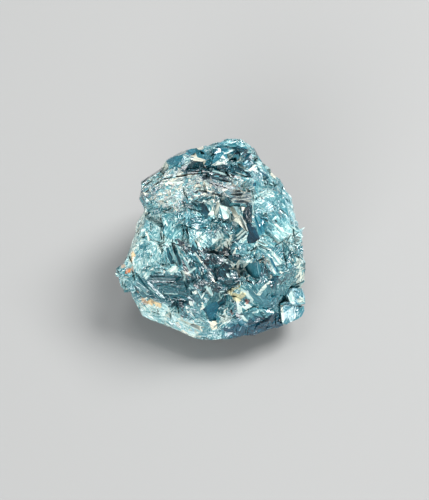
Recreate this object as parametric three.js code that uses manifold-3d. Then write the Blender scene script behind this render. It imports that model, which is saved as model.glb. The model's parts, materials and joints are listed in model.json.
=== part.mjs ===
// A rough diamond, about 8.6 mm across: one broken crystal whose faces are stepped cleavages.
// Units are millimetres. The stone is shaped square-on to its broad broken face, with u to the
// right, v up the face and w out of it, and then tips back to lie on its flat rest face at z = 0.

import * as THREE from "three";
import { ConvexGeometry } from "three/addons/geometries/ConvexGeometry.js";
import { mergeVertices } from "three/addons/utils/BufferGeometryUtils.js";
import Module from "manifold-3d";

const wasm = await Module();
wasm.setup();

// ---- Driving dimensions ------------------------------------------------------------------

const TIP = THREE.MathUtils.degToRad(35); // the broad face looks up, and forwards by this angle
const CENTRE_HEIGHT = 3.2; // from the rest face up to the centre that u, v and w start from
const SEED = 2417;
const BLOCK = 24; // side of the blocks that cut a whole side away
const CLEAVAGE_FACING = new THREE.Vector3(-0.14, 0.1, 1).normalize(); // one octahedron face, in u, v, w
const CLEAVAGE_SPIN = THREE.MathUtils.degToRad(24); // of the lattice about the w axis
const CLEAVAGE_ANGLE = THREE.MathUtils.degToRad(70.53); // between two octahedral cleavages
const W_AXIS = new THREE.Vector3(0, 0, 1);
const OCTAHEDRON_FACE = new THREE.Vector3(1, 1, 1).normalize();
const CRYSTAL_TURN = new THREE.Quaternion()
  .setFromUnitVectors(W_AXIS, CLEAVAGE_FACING)
  .multiply(new THREE.Quaternion().setFromAxisAngle(W_AXIS, CLEAVAGE_SPIN))
  .multiply(new THREE.Quaternion().setFromUnitVectors(OCTAHEDRON_FACE, W_AXIS));

// What has split off all over, largest first, each as a bar between cleavages: number, half width of
// the bar, how far it is stretched along an octahedron edge, and how deep it reaches.
const BREAKS = [
  { count: 46, size: [1.6, 2.4], stretch: [0.3, 1.6], depth: [0.12, 0.24] },
  { count: 110, size: [0.9, 1.5], stretch: [0.3, 1.6], depth: [0.12, 0.22] },
];
const SMALL_BREAKS = [
  { count: 200, size: [0.4, 0.8], stretch: [0.3, 1.3], depth: [0.08, 0.18] },
  { count: 70, size: [0.2, 0.4], stretch: [0.3, 1.0], depth: [0.08, 0.16] },
];
const LATTICE_BEND = THREE.MathUtils.degToRad(9); // the strained crystal's lattice wanders by this much

// The widest section, as [u, v], anticlockwise from the lowest point of the left lobe.
const OUTLINE = [
  [-3.83, -2.44], [-3.45, -2.69], [-3.07, -3.39], [-2.69, -3.58], [-1.68, -3.96],
  [-0.67, -4.43], [0.09, -4.46], [0.97, -4.4], [1.93, -4.27], [3.06, -3.83],
  [3.82, -3.39], [4.14, -2.76], [4.08, -1.93], [4.14, -1.3], [4.08, -0.3],
  [4.02, 0.2], [3.82, 0.66], [3.51, 1.87], [2.88, 2.81], [2.12, 3.57],
  [1.8, 4.14], [1.29, 4.43], [0.66, 4.43], [-0.04, 4.2], [-0.67, 4.01],
  [-1.3, 3.89], [-2.0, 3.51], [-2.28, 3.1], [-3.14, 2.53], [-3.17, 1.87],
  [-2.98, 1.23], [-3.36, 0.66], [-3.39, 0.34], [-3.67, -0.54], [-3.96, -1.17],
  [-4.24, -1.3], [-4.28, -1.62],
];

// Sections from the back of the stone to the broad face: depth w, share of the outline, slide in u and v.
const SECTIONS = [
  { w: -4.3, share: 0.4, u: 0.1, v: 0.5 },
  { w: -3.4, share: 0.7, u: 0.05, v: 0.3 },
  { w: -2.2, share: 0.89, u: 0.05, v: 0.1 },
  { w: -0.9, share: 0.975, u: 0, v: 0 },
  { w: 0.2, share: 1, u: 0, v: 0 },
  { w: 1.2, share: 0.96, u: 0, v: 0 },
  { w: 2.1, share: 0.86, u: 0, v: -0.05 },
  { w: 2.75, share: 0.7, u: 0, v: -0.1 },
  { w: 3.1, share: 0.45, u: 0, v: -0.1 },
];
const WIDEST = 4; // the section that keeps the outline exactly
const SECTION_ROUGHNESS = 0.13;

// Great cleavage faces of the broad side: outward direction in u, v, w and distance from the centre.
const FACE_CLEAVAGES = [
  { facing: [-0.03, 0.06, 1], at: 2.62 },
  { facing: [-0.24, 0.22, 0.95], at: 2.72 },
  { facing: [-0.5, -0.02, 0.87], at: 2.95 },
  { facing: [-0.38, -0.55, 0.75], at: 3.2 },
  { facing: [0.1, -0.55, 0.83], at: 3.2 },
  { facing: [0.5, 0.12, 0.86], at: 3.1 },
  { facing: [0.74, -0.42, 0.52], at: 3.95 },
  { facing: [0.05, 0.66, 0.75], at: 3.6 },
  { facing: [-0.52, 0.66, 0.54], at: 3.85 },
  { facing: [0.7, 0.5, 0.5], at: 3.72 },
];

// Cleavage faces of the hidden sides: outward direction in x, y, z and distance from the centre.
const SIDE_CLEAVAGES = [
  { facing: [0.06, 0.99, -0.08], at: 4.2 },
  { facing: [0.6, 0.76, 0.24], at: 4.3 },
  { facing: [-0.62, 0.74, 0.26], at: 4.15 },
  { facing: [0.12, 0.66, -0.74], at: 3.6 },
  { facing: [-0.5, 0.52, -0.69], at: 3.75 },
  { facing: [0.62, 0.42, -0.66], at: 3.9 },
  { facing: [-0.7, 0.03, -0.71], at: 3.52 },
  { facing: [0.73, -0.04, -0.68], at: 3.68 },
  { facing: [-0.27, -0.46, -0.85], at: 3.86 },
  { facing: [0.31, -0.48, -0.82], at: 3.94 },
];

// Breaks that the eye picks out: flat floors cut into the face, or flat tops that stand proud of it.
// Each has its middle in u and v, its level above (+, proud) or below (-, cut) the face there, its
// size along and across, its number of sides, its turn in the face, and how far it tips from the face
// over its long and its short axis, in degrees.
const LANDMARKS = {
  crownStep: { at: [0.1, 3.55], level: -0.25, size: [4.6, 1.2], sides: 5, turn: 6, tip: [10, 0] },
  crownPane: { at: [1.3, 3.6], level: -0.25, size: [1.3, 0.8], sides: 5, turn: -30, tip: [12, 8] },
  crownTooth: { at: [-0.5, 3.4], level: 0.14, size: [0.9, 0.4], sides: 4, turn: 30, tip: [0, 8] },
  topLeftEdgePane: { at: [-2.5, 2.6], level: -0.16, size: [2.0, 0.5], sides: 4, turn: 38, tip: [-12, 0] },
  upperPlateau: { at: [-1.3, 2.0], level: 0.14, size: [3.0, 1.5], sides: 6, turn: 6, tip: [0, -3] },
  striatedPane: { at: [1.05, 1.75], level: 0.14, size: [1.5, 0.9], sides: 4, turn: -6, tip: [4, 3] },
  rightLobe: { at: [2.7, 1.0], level: 0.16, size: [2.6, 1.3], sides: 6, turn: 106, tip: [-3, 0] },
  darkFissure: { at: [1.6, 0.55], level: -0.42, size: [1.7, 0.26], sides: 4, turn: 108, tip: [10, 4] },
  fissureFoot: { at: [1.85, -0.25], level: -0.34, size: [0.75, 0.35], sides: 4, turn: 60, tip: [-12, 0] },
  lathFanLedge: { at: [0.72, 0.75], level: 0.2, size: [1.6, 0.8], sides: 5, turn: 112, tip: [9, 5] },
  centreHollow: { at: [-0.35, 0.45], level: -0.16, size: [1.5, 1.0], sides: 5, turn: 30, tip: [-6, 6] },
  leftShoulder: { at: [-2.5, 0.9], level: -0.14, size: [1.6, 1.0], sides: 6, turn: 70, tip: [4, -4] },
  hollowPaneLeft: { at: [-1.6, -0.7], level: -0.2, size: [1.15, 0.5], sides: 4, turn: 112, tip: [-10, 0] },
  ridgeLeftOfCentre: { at: [-1.1, -0.9], level: 0.12, size: [2.3, 0.2], sides: 4, turn: 116, tip: [4, 0] },
  darkBasin: { at: [0.3, -1.3], level: -0.26, size: [2.1, 1.2], sides: 5, turn: -18, tip: [-8, 6] },
  basinWall: { at: [0.85, -1.95], level: -0.2, size: [1.4, 0.5], sides: 4, turn: 8, tip: [10, 0] },
  roundWindow: { at: [2.1, -1.35], level: -0.22, size: [1.1, 0.95], sides: 7, turn: 30, tip: [4, 4] },
  striatedScoop: { at: [-2.1, -2.05], level: -0.14, size: [2.5, 1.5], sides: 8, turn: -14, tip: [-5, 0] },
  scoopFloor: { at: [-1.7, -2.5], level: -0.2, size: [1.5, 0.7], sides: 7, turn: -10, tip: [8, 0] },
  bluePane: { at: [0.1, -3.1], level: -0.18, size: [1.3, 0.8], sides: 5, turn: 22, tip: [8, 4] },
  lowerBrow: { at: [1.9, -3.3], level: 0.12, size: [1.9, 0.7], sides: 5, turn: 10, tip: [0, 0] },
  cornerFacet: { at: [3.3, -2.7], level: -0.2, size: [1.6, 0.9], sides: 4, turn: 80, tip: [0, 8] },
  rightSideLedge: { at: [3.4, -0.9], level: -0.18, size: [1.5, 0.6], sides: 5, turn: 96, tip: [0, 10] },
  rimSpur: { at: [3.9, 0.42], level: 0.2, size: [0.3, 0.16], sides: 4, turn: 20, tip: [0, 0] },
};
const LANDMARK_REACH = 0.7; // how far up a landmark's block clears what stands over its floor

// ---- Solids ------------------------------------------------------------------------------

/** Repeatable random numbers from 0 to 1 (mulberry32). */
function seededRandom(seed) {
  let state = seed >>> 0;
  return () => {
    state = (state + 0x6d2b79f5) >>> 0;
    let mixed = Math.imul(state ^ (state >>> 15), state | 1);
    mixed ^= mixed + Math.imul(mixed ^ (mixed >>> 7), mixed | 61);
    return ((mixed ^ (mixed >>> 14)) >>> 0) / 4294967296;
  };
}

const random = seededRandom(SEED);
const between = (low, high) => low + (high - low) * random();

/** A closed geometry as a solid that can be cut and joined. */
function solidOf(geometry) {
  const bare = geometry.clone();
  bare.deleteAttribute("normal");
  bare.deleteAttribute("uv");
  const merged = mergeVertices(bare, 1e-4);
  return new wasm.Manifold(
    new wasm.Mesh({
      numProp: 3,
      vertProperties: new Float32Array(merged.attributes.position.array),
      triVerts: new Uint32Array(merged.index.array),
    }),
  );
}

/** A solid as a three.js geometry with flat faces. */
function geometryOf(solid) {
  const { vertProperties, triVerts } = solid.getMesh();
  const geometry = new THREE.BufferGeometry();
  geometry.setAttribute("position", new THREE.BufferAttribute(vertProperties, 3));
  geometry.setIndex(new THREE.BufferAttribute(triVerts, 1));
  const faceted = geometry.toNonIndexed();
  faceted.computeVertexNormals();
  return faceted;
}

/** The uncut form: sections of one outline, joined from the back of the stone to its face. */
function roughForm() {
  const count = OUTLINE.length;
  const points = [];
  SECTIONS.forEach(({ w, share, u, v }, level) => {
    const rough = level === WIDEST ? 0 : SECTION_ROUGHNESS;
    for (const [outlineU, outlineV] of OUTLINE) {
      points.push(outlineU * share + u + between(-rough, rough));
      points.push(outlineV * share + v + between(-rough, rough));
      points.push(w + between(-rough, rough));
    }
  });
  const back = SECTIONS[0];
  const face = SECTIONS.at(-1);
  points.push(back.u, back.v, back.w - 0.1, face.u, face.v, face.w + 0.05);

  const triangles = [];
  const backPoint = SECTIONS.length * count;
  const lastSection = backPoint - count;
  for (let i = 0; i < count; i++) {
    const next = (i + 1) % count;
    for (let base = 0; base < lastSection; base += count) {
      triangles.push(base + i, base + next, base + count + i);
      triangles.push(base + next, base + count + next, base + count + i);
    }
    triangles.push(backPoint, next, i);
    triangles.push(backPoint + 1, lastSection + i, lastSection + next);
  }
  const geometry = new THREE.BufferGeometry();
  geometry.setAttribute("position", new THREE.Float32BufferAttribute(points, 3));
  geometry.setIndex(triangles);
  return solidOf(geometry);
}

/** A block with a flat end at z = 0 whose sides spread as cleavages do, up to a reach above it. */
function cleavageBlock({ along, across, sides, reach }) {
  const spread = reach / Math.tan(CLEAVAGE_ANGLE);
  const corners = [];
  for (let i = 0; i < sides; i++) {
    const angle = ((i + between(-0.25, 0.25)) * 2 * Math.PI) / sides;
    const share = between(0.8, 1.15) / 2;
    const [x, y] = [Math.cos(angle), Math.sin(angle)];
    corners.push(new THREE.Vector3(x * along * share, y * across * share, 0));
    corners.push(new THREE.Vector3(x * (along * share + spread), y * (across * share + spread), reach));
  }
  return new ConvexGeometry(corners);
}

/** Cuts away all that lies beyond a plane. */
function cleave(solid, facing, at) {
  const direction = new THREE.Vector3(...facing).normalize();
  const block = new THREE.BoxGeometry(BLOCK, BLOCK, BLOCK);
  block.translate(0, 0, BLOCK / 2);
  block.applyQuaternion(new THREE.Quaternion().setFromUnitVectors(W_AXIS, direction));
  block.translate(...direction.multiplyScalar(at).toArray());
  return solid.subtract(solidOf(block));
}

/** The same with the direction given in x, y, z. */
function cleaveFromSide(solid, facing, at) {
  const inFace = new THREE.Vector3(...facing).applyAxisAngle(new THREE.Vector3(1, 0, 0), -TIP);
  return cleave(solid, inFace.toArray(), at);
}

/** The place on the broad face at u, v: its point and outward normal. */
function facePlace(solid, u, v) {
  const { vertProperties, triVerts } = solid.getMesh();
  const skin = new THREE.BufferGeometry();
  skin.setAttribute("position", new THREE.BufferAttribute(vertProperties, 3));
  skin.setIndex(new THREE.BufferAttribute(triVerts, 1));
  const downwards = new THREE.Raycaster(new THREE.Vector3(u, v, BLOCK), W_AXIS.clone().negate());
  const [hit] = downwards.intersectObject(new THREE.Mesh(skin, new THREE.MeshBasicMaterial()));
  return { point: hit.point, normal: hit.face.normal };
}

/** Makes one of the breaks that the eye picks out. */
function withLandmark(solid, body, { at, level, size, sides, turn, tip }) {
  const proud = level > 0;
  const block = cleavageBlock({ along: size[0], across: size[1], sides, reach: LANDMARK_REACH });
  if (proud) block.rotateX(Math.PI);
  const [longTip, shortTip, faceTurn] = [...tip, turn].map(THREE.MathUtils.degToRad);
  const { point, normal } = facePlace(body, ...at);
  block.rotateX(longTip).rotateY(shortTip).rotateZ(faceTurn);
  block.applyQuaternion(new THREE.Quaternion().setFromUnitVectors(W_AXIS, normal));
  block.translate(...point.addScaledVector(normal, level).toArray());
  return proud ? solid.add(solidOf(block)) : solid.subtract(solidOf(block));
}

/** Random places spread evenly over the surface: point and outward normal of each. */
function surfacePlaces(solid, count) {
  const { vertProperties, triVerts } = solid.getMesh();
  const corner = (index) => new THREE.Vector3().fromArray(vertProperties, 3 * triVerts[index]);
  const triangles = [];
  let area = 0;
  for (let i = 0; i < triVerts.length; i += 3) {
    const triangle = new THREE.Triangle(corner(i), corner(i + 1), corner(i + 2));
    area += triangle.getArea();
    triangles.push({ triangle, area });
  }
  return Array.from({ length: count }, (_, i) => {
    const wanted = ((i + random()) / count) * area;
    const { triangle } = triangles.find((entry) => entry.area >= wanted);
    const [s, t] = [Math.sqrt(random()), random()];
    const point = new THREE.Vector3()
      .addScaledVector(triangle.a, 1 - s)
      .addScaledVector(triangle.b, s * (1 - t))
      .addScaledVector(triangle.c, s * t);
    return { point, normal: triangle.getNormal(new THREE.Vector3()) };
  });
}

/** Corners of a bar between cleavages: an octahedron drawn out along one of its edges. */
function barCorners(size, stretch) {
  const edge = new THREE.Vector3(1, -1, 0).normalize();
  const corners = [];
  for (const half of [1, -1]) {
    const shift = edge.clone().multiplyScalar((half * stretch) / 2);
    corners.push(new THREE.Vector3(half * size, 0, 0), new THREE.Vector3(0, -half * size, 0));
    corners.push(new THREE.Vector3(0, 0, size), new THREE.Vector3(0, 0, -size));
    corners.slice(-4).forEach((corner) => corner.add(shift));
  }
  return corners;
}

/** A turn of the bar to one of the octahedron's six edges, and then into the stone's bent lattice. */
function latticeTurn() {
  const quarter = Math.floor(between(0, 4)) * (Math.PI / 2);
  const onto = Math.floor(between(0, 3));
  const face = new THREE.Euler(onto === 1 ? Math.PI / 2 : 0, onto === 2 ? Math.PI / 2 : 0, quarter);
  const bend = new THREE.Vector3(between(-1, 1), between(-1, 1), between(-1, 1)).multiplyScalar(LATTICE_BEND);
  return new THREE.Quaternion()
    .setFromEuler(new THREE.Euler(...bend))
    .multiply(CRYSTAL_TURN)
    .multiply(new THREE.Quaternion().setFromEuler(face));
}

/** Breaks of one kind, spread over a skin: bars between cleavages, each reaching to its own depth. */
function withBreaks(solid, skin, { count, size, stretch, depth }) {
  for (const { point, normal } of surfacePlaces(skin, count)) {
    const turn = latticeTurn();
    const corners = barCorners(between(...size), between(...stretch));
    corners.forEach((corner) => corner.applyQuaternion(turn));
    const lowest = Math.min(...corners.map((corner) => corner.dot(normal)));
    const bar = new ConvexGeometry(corners);
    bar.translate(...point.addScaledVector(normal, -lowest - between(...depth)).toArray());
    solid = solid.subtract(solidOf(bar));
  }
  return solid;
}

/** Only the stone itself, without crumbs that a cut has freed. */
function largestPiece(solid) {
  return solid.decompose().reduce((best, piece) => (piece.volume() > best.volume() ? piece : best));
}

// ---- The stone ---------------------------------------------------------------------------

let stone = roughForm();
for (const { facing, at } of FACE_CLEAVAGES) stone = cleave(stone, facing, at);
for (const { facing, at } of SIDE_CLEAVAGES) stone = cleaveFromSide(stone, facing, at);
const body = stone;
for (const kind of BREAKS) stone = withBreaks(stone, body, kind);
for (const landmark of Object.values(LANDMARKS)) stone = withLandmark(stone, body, landmark);
const stepped = stone;
for (const kind of SMALL_BREAKS) stone = withBreaks(stone, stepped, kind);
stone = largestPiece(cleaveFromSide(stone, [0, 0, -1], CENTRE_HEIGHT));

const diamond = new THREE.Mesh(
  geometryOf(stone),
  new THREE.MeshStandardMaterial({ color: 0x4f93a3, roughness: 0.18, metalness: 0, flatShading: true }),
);
diamond.name = "rough_diamond";

const group = new THREE.Group();
group.rotation.x = TIP;
group.position.z = CENTRE_HEIGHT;
group.add(diamond);

export default group;
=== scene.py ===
"""A rough diamond 8.4 mm across: one broken crystal of pale teal, glittering with fine laths."""

import json
import logging
import math
from collections.abc import Callable, Sequence
from dataclasses import dataclass, field, replace
from enum import Enum
from typing import Any

import bmesh
import bpy
import numpy as np
from mathutils import Matrix, Quaternion, Vector, noise

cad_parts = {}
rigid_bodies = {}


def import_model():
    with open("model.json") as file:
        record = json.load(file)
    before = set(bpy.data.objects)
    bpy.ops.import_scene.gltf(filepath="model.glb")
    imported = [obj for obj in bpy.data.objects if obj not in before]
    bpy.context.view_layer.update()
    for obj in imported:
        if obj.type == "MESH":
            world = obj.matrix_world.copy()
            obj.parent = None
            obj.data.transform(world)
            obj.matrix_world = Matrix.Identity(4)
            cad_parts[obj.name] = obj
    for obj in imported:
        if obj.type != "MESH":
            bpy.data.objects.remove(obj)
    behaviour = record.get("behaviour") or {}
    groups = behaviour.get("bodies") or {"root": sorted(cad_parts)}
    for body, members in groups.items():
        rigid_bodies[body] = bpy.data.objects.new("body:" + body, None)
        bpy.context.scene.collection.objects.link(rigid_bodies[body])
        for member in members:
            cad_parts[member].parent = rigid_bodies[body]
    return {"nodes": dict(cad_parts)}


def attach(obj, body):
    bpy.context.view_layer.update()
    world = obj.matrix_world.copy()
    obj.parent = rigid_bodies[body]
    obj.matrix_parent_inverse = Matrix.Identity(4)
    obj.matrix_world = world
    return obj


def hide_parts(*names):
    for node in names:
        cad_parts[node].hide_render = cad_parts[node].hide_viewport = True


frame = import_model()

LOG = logging.getLogger("rough_diamond")
MM = 0.001
SEED = 2417
PROBE_HEIGHT = 8.0

Colour = tuple[float, float, float, float]
Stops = tuple[tuple[float, Colour], ...]
Pair = tuple[float, float]
Triple = tuple[float, float, float]


def srgb(red: float, green: float, blue: float) -> Colour:
    """Turns a colour named in 0 to 255 display values into linear light.

    Args:
        red: how red it is.
        green: how green it is.
        blue: how blue it is.

    Returns:
        The colour with full alpha.
    """
    channels = (red / 255, green / 255, blue / 255)
    linear = [c / 12.92 if c <= 0.04045 else ((c + 0.055) / 1.055) ** 2.4 for c in channels]
    return (linear[0], linear[1], linear[2], 1.0)


def finished(work: bmesh.types.BMesh, name: str) -> bpy.types.Object:
    """Makes an object of a bmesh, which is used up.

    Args:
        work: the bmesh.
        name: the name of the object and its mesh.

    Returns:
        The object, in no collection yet.
    """
    mesh = bpy.data.meshes.new(name)
    work.to_mesh(mesh)
    work.free()
    return bpy.data.objects.new(name, mesh)


def rows(items: Any, name: str, width: int = 3, kind: type = float) -> np.ndarray:
    """Reads one property of all of a mesh's items.

    Args:
        items: the mesh's vertices, loops, polygons or loop triangles.
        name: the property.
        width: how many numbers it has.
        kind: the type of its numbers.

    Returns:
        One row of numbers for each item.
    """
    values = np.zeros(len(items) * width, kind)
    items.foreach_get(name, values)
    return values.reshape(-1, width)


@dataclass(frozen=True)
class StoneAxes:
    """The stone's own axes in millimetres: u across its broad face, v up that face and w out of it."""

    tip: float = math.radians(35)
    centre_height: float = 3.2

    @property
    def turn(self) -> np.ndarray:
        """The rows u, v and w, as directions in the row frame."""
        cosine, sine = math.cos(self.tip), math.sin(self.tip)
        return np.array(((1.0, 0.0, 0.0), (0.0, cosine, sine), (0.0, -sine, cosine)))

    def directions(self, row: np.ndarray) -> np.ndarray:
        """Directions in the row frame, as directions along u, v and w."""
        return row @ self.turn.T

    def places(self, row: np.ndarray) -> np.ndarray:
        """Places in the row frame, as places along u, v and w from the stone's centre."""
        return self.directions(row - np.array((0.0, 0.0, self.centre_height)))

    def row_directions(self, stone: np.ndarray) -> np.ndarray:
        """Directions along u, v and w, as directions in the row frame."""
        return stone @ self.turn

    def row_places(self, stone: np.ndarray) -> np.ndarray:
        """Places along u, v and w from the stone's centre, as places in the row frame."""
        return self.row_directions(stone) + np.array((0.0, 0.0, self.centre_height))

    def under(self, stone: bpy.types.Object, u: float, v: float) -> Vector | None:
        """Finds the skin under a u and v.

        Args:
            stone: the stone, in millimetres.
            u: the place across the broad face.
            v: the place up the broad face.

        Returns:
            The place on the skin in the row frame, or None beside the stone.
        """
        start = Vector(self.row_places(np.array((u, v, PROBE_HEIGHT))))
        hit, place, _, _ = stone.ray_cast(start, Vector(self.row_directions(np.array((0.0, 0.0, -1.0)))))
        return place.copy() if hit else None


@dataclass(frozen=True)
class Skin:
    """How a patch of the stone's surface looks.

    shade runs from 0, near black teal, to 1, white. warmth runs from -1, blue, over 0, teal,
    to 1, grey-violet in the dark and cream in the light. glints and panes are the shares of
    facets that are white and that are dark and clear. mottle is how far the fine cells in a
    facet differ, specks is the share of them that are white, lines how strong the fine lines
    along the laths are, relief how far the fine cells are broken, and drift how far the shade
    wanders over the stone. gloss is the roughness of its facets.
    """

    shade: float
    spread: float = 0.15
    warmth: float = 0.0
    warmth_spread: float = 0.15
    glints: float = 0.12
    panes: float = 0.1
    mottle: float = 0.35
    specks: float = 0.1
    lines: float = 0.15
    relief: float = 0.7
    drift: float = 0.2
    gloss: float = 0.03


@dataclass(frozen=True)
class Laths:
    """The fine broken laths of a patch.

    density is how many lie on a square millimetre, run the way they run in degrees, and scatter
    how far they stray from it. length and width are the least and the most, in millimetres. The
    laths of other patches stay off a patch that is spared.
    """

    density: float = 18.0
    run: float = 0.0
    scatter: float = 90.0
    length: Pair = (0.2, 0.7)
    width: Pair = (0.08, 0.22)
    spared: bool = False


@dataclass(frozen=True)
class Patch:
    """An oval patch of the broad face: its middle, half sizes and turn in degrees, skin and laths."""

    name: str
    middle: Pair
    reach: Pair
    turn: float
    skin: Skin
    laths: Laths = Laths()

    @property
    def fray(self) -> float:
        """How far its edge wanders, in millimetres."""
        return 0.12 * min(self.reach)

    def nearness(self, u: np.ndarray, v: np.ndarray) -> np.ndarray:
        """How far places lie from the middle.

        Args:
            u: the places across the broad face.
            v: the places up the broad face.

        Returns:
            Each distance as a share of the patch's own reach.
        """
        angle = math.radians(self.turn)
        du, dv = u - self.middle[0], v - self.middle[1]
        along = du * math.cos(angle) + dv * math.sin(angle)
        across = dv * math.cos(angle) - du * math.sin(angle)
        return np.hypot(along / self.reach[0], across / self.reach[1])


FLANK = Patch("flank", (0.0, 0.0), (1.0, 1.0), 0.0, Skin(0.55, 0.14, -0.05, 0.15, 0.1, 0.1), Laths(7.0))

PATCHES = (
    Patch("body", (0.0, 0.0), (6.0, 6.0), 0, Skin(0.58, 0.14, 0.0, 0.12, 0.12, 0.1)),
    Patch("crown", (0.3, 3.8), (2.1, 0.85), 0,
          Skin(0.36, 0.12, -0.25, 0.12, 0.06, 0.16, 0.1, 0.02, 0.1, 0.2),
          Laths(7, 20, 40, (0.4, 1.0), (0.15, 0.4))),
    Patch("crown_pale", (0.55, 4.1), (1.2, 0.35), 10,
          Skin(0.55, 0.1, -0.2, 0.1, 0.05, 0.06, 0.1, 0.02, 0.1, 0.2),
          Laths(4, 10, 30, (0.4, 1.0), (0.15, 0.4))),
    # Painted reflection, in part: the grey-violet warmth of upper_grain and violet_grain is the stone's tint
    # and also a sheen of the surroundings reflected in the grain.
    Patch("upper_grain", (-0.8, 2.1), (2.4, 1.05), 0, Skin(0.6, 0.12, 0.5, 0.3, 0.12, 0.05, 0.24, 0.1),
          Laths(38, 10, 60, (0.12, 0.45), (0.05, 0.11))),
    Patch("violet_grain", (0.2, 2.1), (1.0, 0.55), -30, Skin(0.54, 0.16, 0.65, 0.3, 0.18, 0.12, 0.3, 0.12),
          Laths(38, -32, 14, (0.15, 0.5), (0.05, 0.1))),
    Patch("dark_ridge", (-0.2, 2.95), (1.5, 0.26), -4,
          Skin(0.16, 0.1, -0.1, 0.1, 0.06, 0.3, 0.15, 0.03, 0.2, 0.4),
          Laths(14, 0, 16, (0.5, 1.1), (0.05, 0.14))),
    Patch("right_lobe", (2.8, 1.4), (1.4, 1.95), 10, Skin(0.6, 0.1, 0.05, 0.24, 0.05, 0.02, 0.24, 0.06),
          Laths(28, -40, 70, (0.12, 0.4), (0.05, 0.12))),
    # Painted light: the pale blue-white band along the right rim is the lit side of the stone, painted into
    # its tone.
    Patch("right_rim", (3.75, 1.2), (0.58, 2.3), 10, Skin(0.82, 0.08, -0.4, 0.1, 0.12, 0.02, 0.15, 0.08),
          Laths(14)),
    Patch("striated", (1.2, 1.75), (0.6, 0.5), -5,
          Skin(0.56, 0.06, 0.7, 0.15, 0.04, 0.02, 0.1, 0.03, 0.6, 0.08),
          Laths(20, -4, 6, (0.6, 1.1), (0.05, 0.12))),
    Patch("centre", (0.0, 0.5), (1.3, 1.1), 0, Skin(0.5, 0.15, 0.0, 0.15, 0.16, 0.14, 0.3, 0.12),
          Laths(32, -50, 50, (0.15, 0.5), (0.05, 0.13))),
    Patch("left_shoulder", (-2.6, -0.2), (1.25, 1.5), 0, Skin(0.7, 0.12, 0.02, 0.14, 0.16, 0.05, 0.25, 0.1),
          Laths(24, 50, 60, (0.15, 0.5), (0.06, 0.15))),
    Patch("left_rim", (-3.35, 0.0), (0.35, 1.2), -14, Skin(0.86, 0.08, 0.25, 0.15, 0.2, 0.0, 0.2, 0.1),
          Laths(14)),
    Patch("basin", (0.15, -1.4), (1.35, 0.95), 0, Skin(0.18, 0.08, 0.1, 0.25, 0.09, 0.2, 0.15, 0.05),
          Laths(22, -40, 50, (0.2, 0.8), (0.05, 0.16))),
    Patch("window_edge", (2.03, -1.28), (0.85, 0.75), 0, Skin(0.5, 0.16, 0.2, 0.3, 0.12, 0.12, 0.2, 0.08),
          Laths(30, 90, 90, (0.15, 0.45), (0.05, 0.11))),
    Patch("right_grain", (3.1, -1.1), (0.8, 1.0), 0, Skin(0.5, 0.12, 0.1, 0.2, 0.1, 0.14, 0.3, 0.1),
          Laths(34, 40, 60, (0.12, 0.4), (0.05, 0.12))),
    Patch("right_rays", (3.3, 0.1), (0.75, 0.55), -30,
          Skin(0.72, 0.12, -0.05, 0.12, 0.2, 0.04, 0.2, 0.1, 0.3, 0.4),
          Laths(26, -35, 10, (0.3, 0.9), (0.05, 0.1))),
    Patch("scoop", (-1.95, -2.25), (1.3, 0.75), -6,
          Skin(0.38, 0.04, 0.1, 0.06, 0.01, 0.01, 0.08, 0.01, 0.4, 0.06),
          Laths(5.5, -5, 4, (0.7, 1.4), (0.06, 0.14))),
    Patch("lower_band", (-1.9, -3.6), (1.7, 0.55), -25,
          Skin(0.83, 0.07, 0.12, 0.3, 0.04, 0.0, 0.2, 0.06, 0.2, 0.3),
          Laths(14, -25, 40, (0.15, 0.5), (0.05, 0.14))),
    Patch("lower_right", (2.3, -2.6), (1.1, 0.8), 0,
          Skin(0.54, 0.08, -0.1, 0.1, 0.12, 0.05, 0.15, 0.05, 0.2, 0.3),
          Laths(12, -50, 30, (0.3, 1.0), (0.06, 0.18))),
    Patch("lower_blue", (1.3, -3.9), (0.9, 0.5), 10,
          Skin(0.44, 0.1, -0.5, 0.2, 0.1, 0.08, 0.2, 0.06, 0.2, 0.4),
          Laths(12, 30, 40, (0.3, 0.8), (0.08, 0.2))),
    Patch("brow", (2.2, -3.8), (1.0, 0.45), 20,
          Skin(0.22, 0.05, -0.7, 0.1, 0.03, 0.06, 0.12, 0.02, 0.4, 0.2),
          Laths(8, 50, 8, (0.3, 0.8), (0.05, 0.12))),
    Patch("corner_facet", (3.6, -3.0), (0.6, 0.95), -10,
          Skin(0.66, 0.1, -0.4, 0.15, 0.12, 0.05, 0.1, 0.04, 0.1, 0.2),
          Laths(8, 60, 40, (0.3, 0.8), (0.1, 0.2))),
    Patch("lath_fan", (0.75, 0.85), (0.6, 1.0), 28,
          Skin(0.42, 0.12, 0.3, 0.25, 0.12, 0.12, 0.1, 0.06, 0.4, 0.2),
          Laths(18, -62, 8, (0.4, 0.9), (0.06, 0.12))),
)


class FacetSkin(Enum):
    """The skins of facets, from the clearest to the whitest, without their shade and warmth."""

    CLEAR = Skin(0.0, 0.04, 0.0, 0.08, 0.0, 0.0, 0.16, 0.012, 0.3, 0.07, 0.05, 0.03)
    DARK = Skin(0.0, 0.06, 0.0, 0.1, 0.02, 0.04, 0.32, 0.03, 0.6, 0.2, 0.06, 0.04)
    PALE = Skin(0.0, 0.06, 0.0, 0.1, 0.02, 0.03, 0.3, 0.06, 0.7, 0.4, 0.06, 0.06)
    WHITE = Skin(0.0, 0.03, 0.0, 0.08, 0.0, 0.0, 0.14, 0.04, 0.35, 0.25, 0.03, 0.1)


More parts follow.
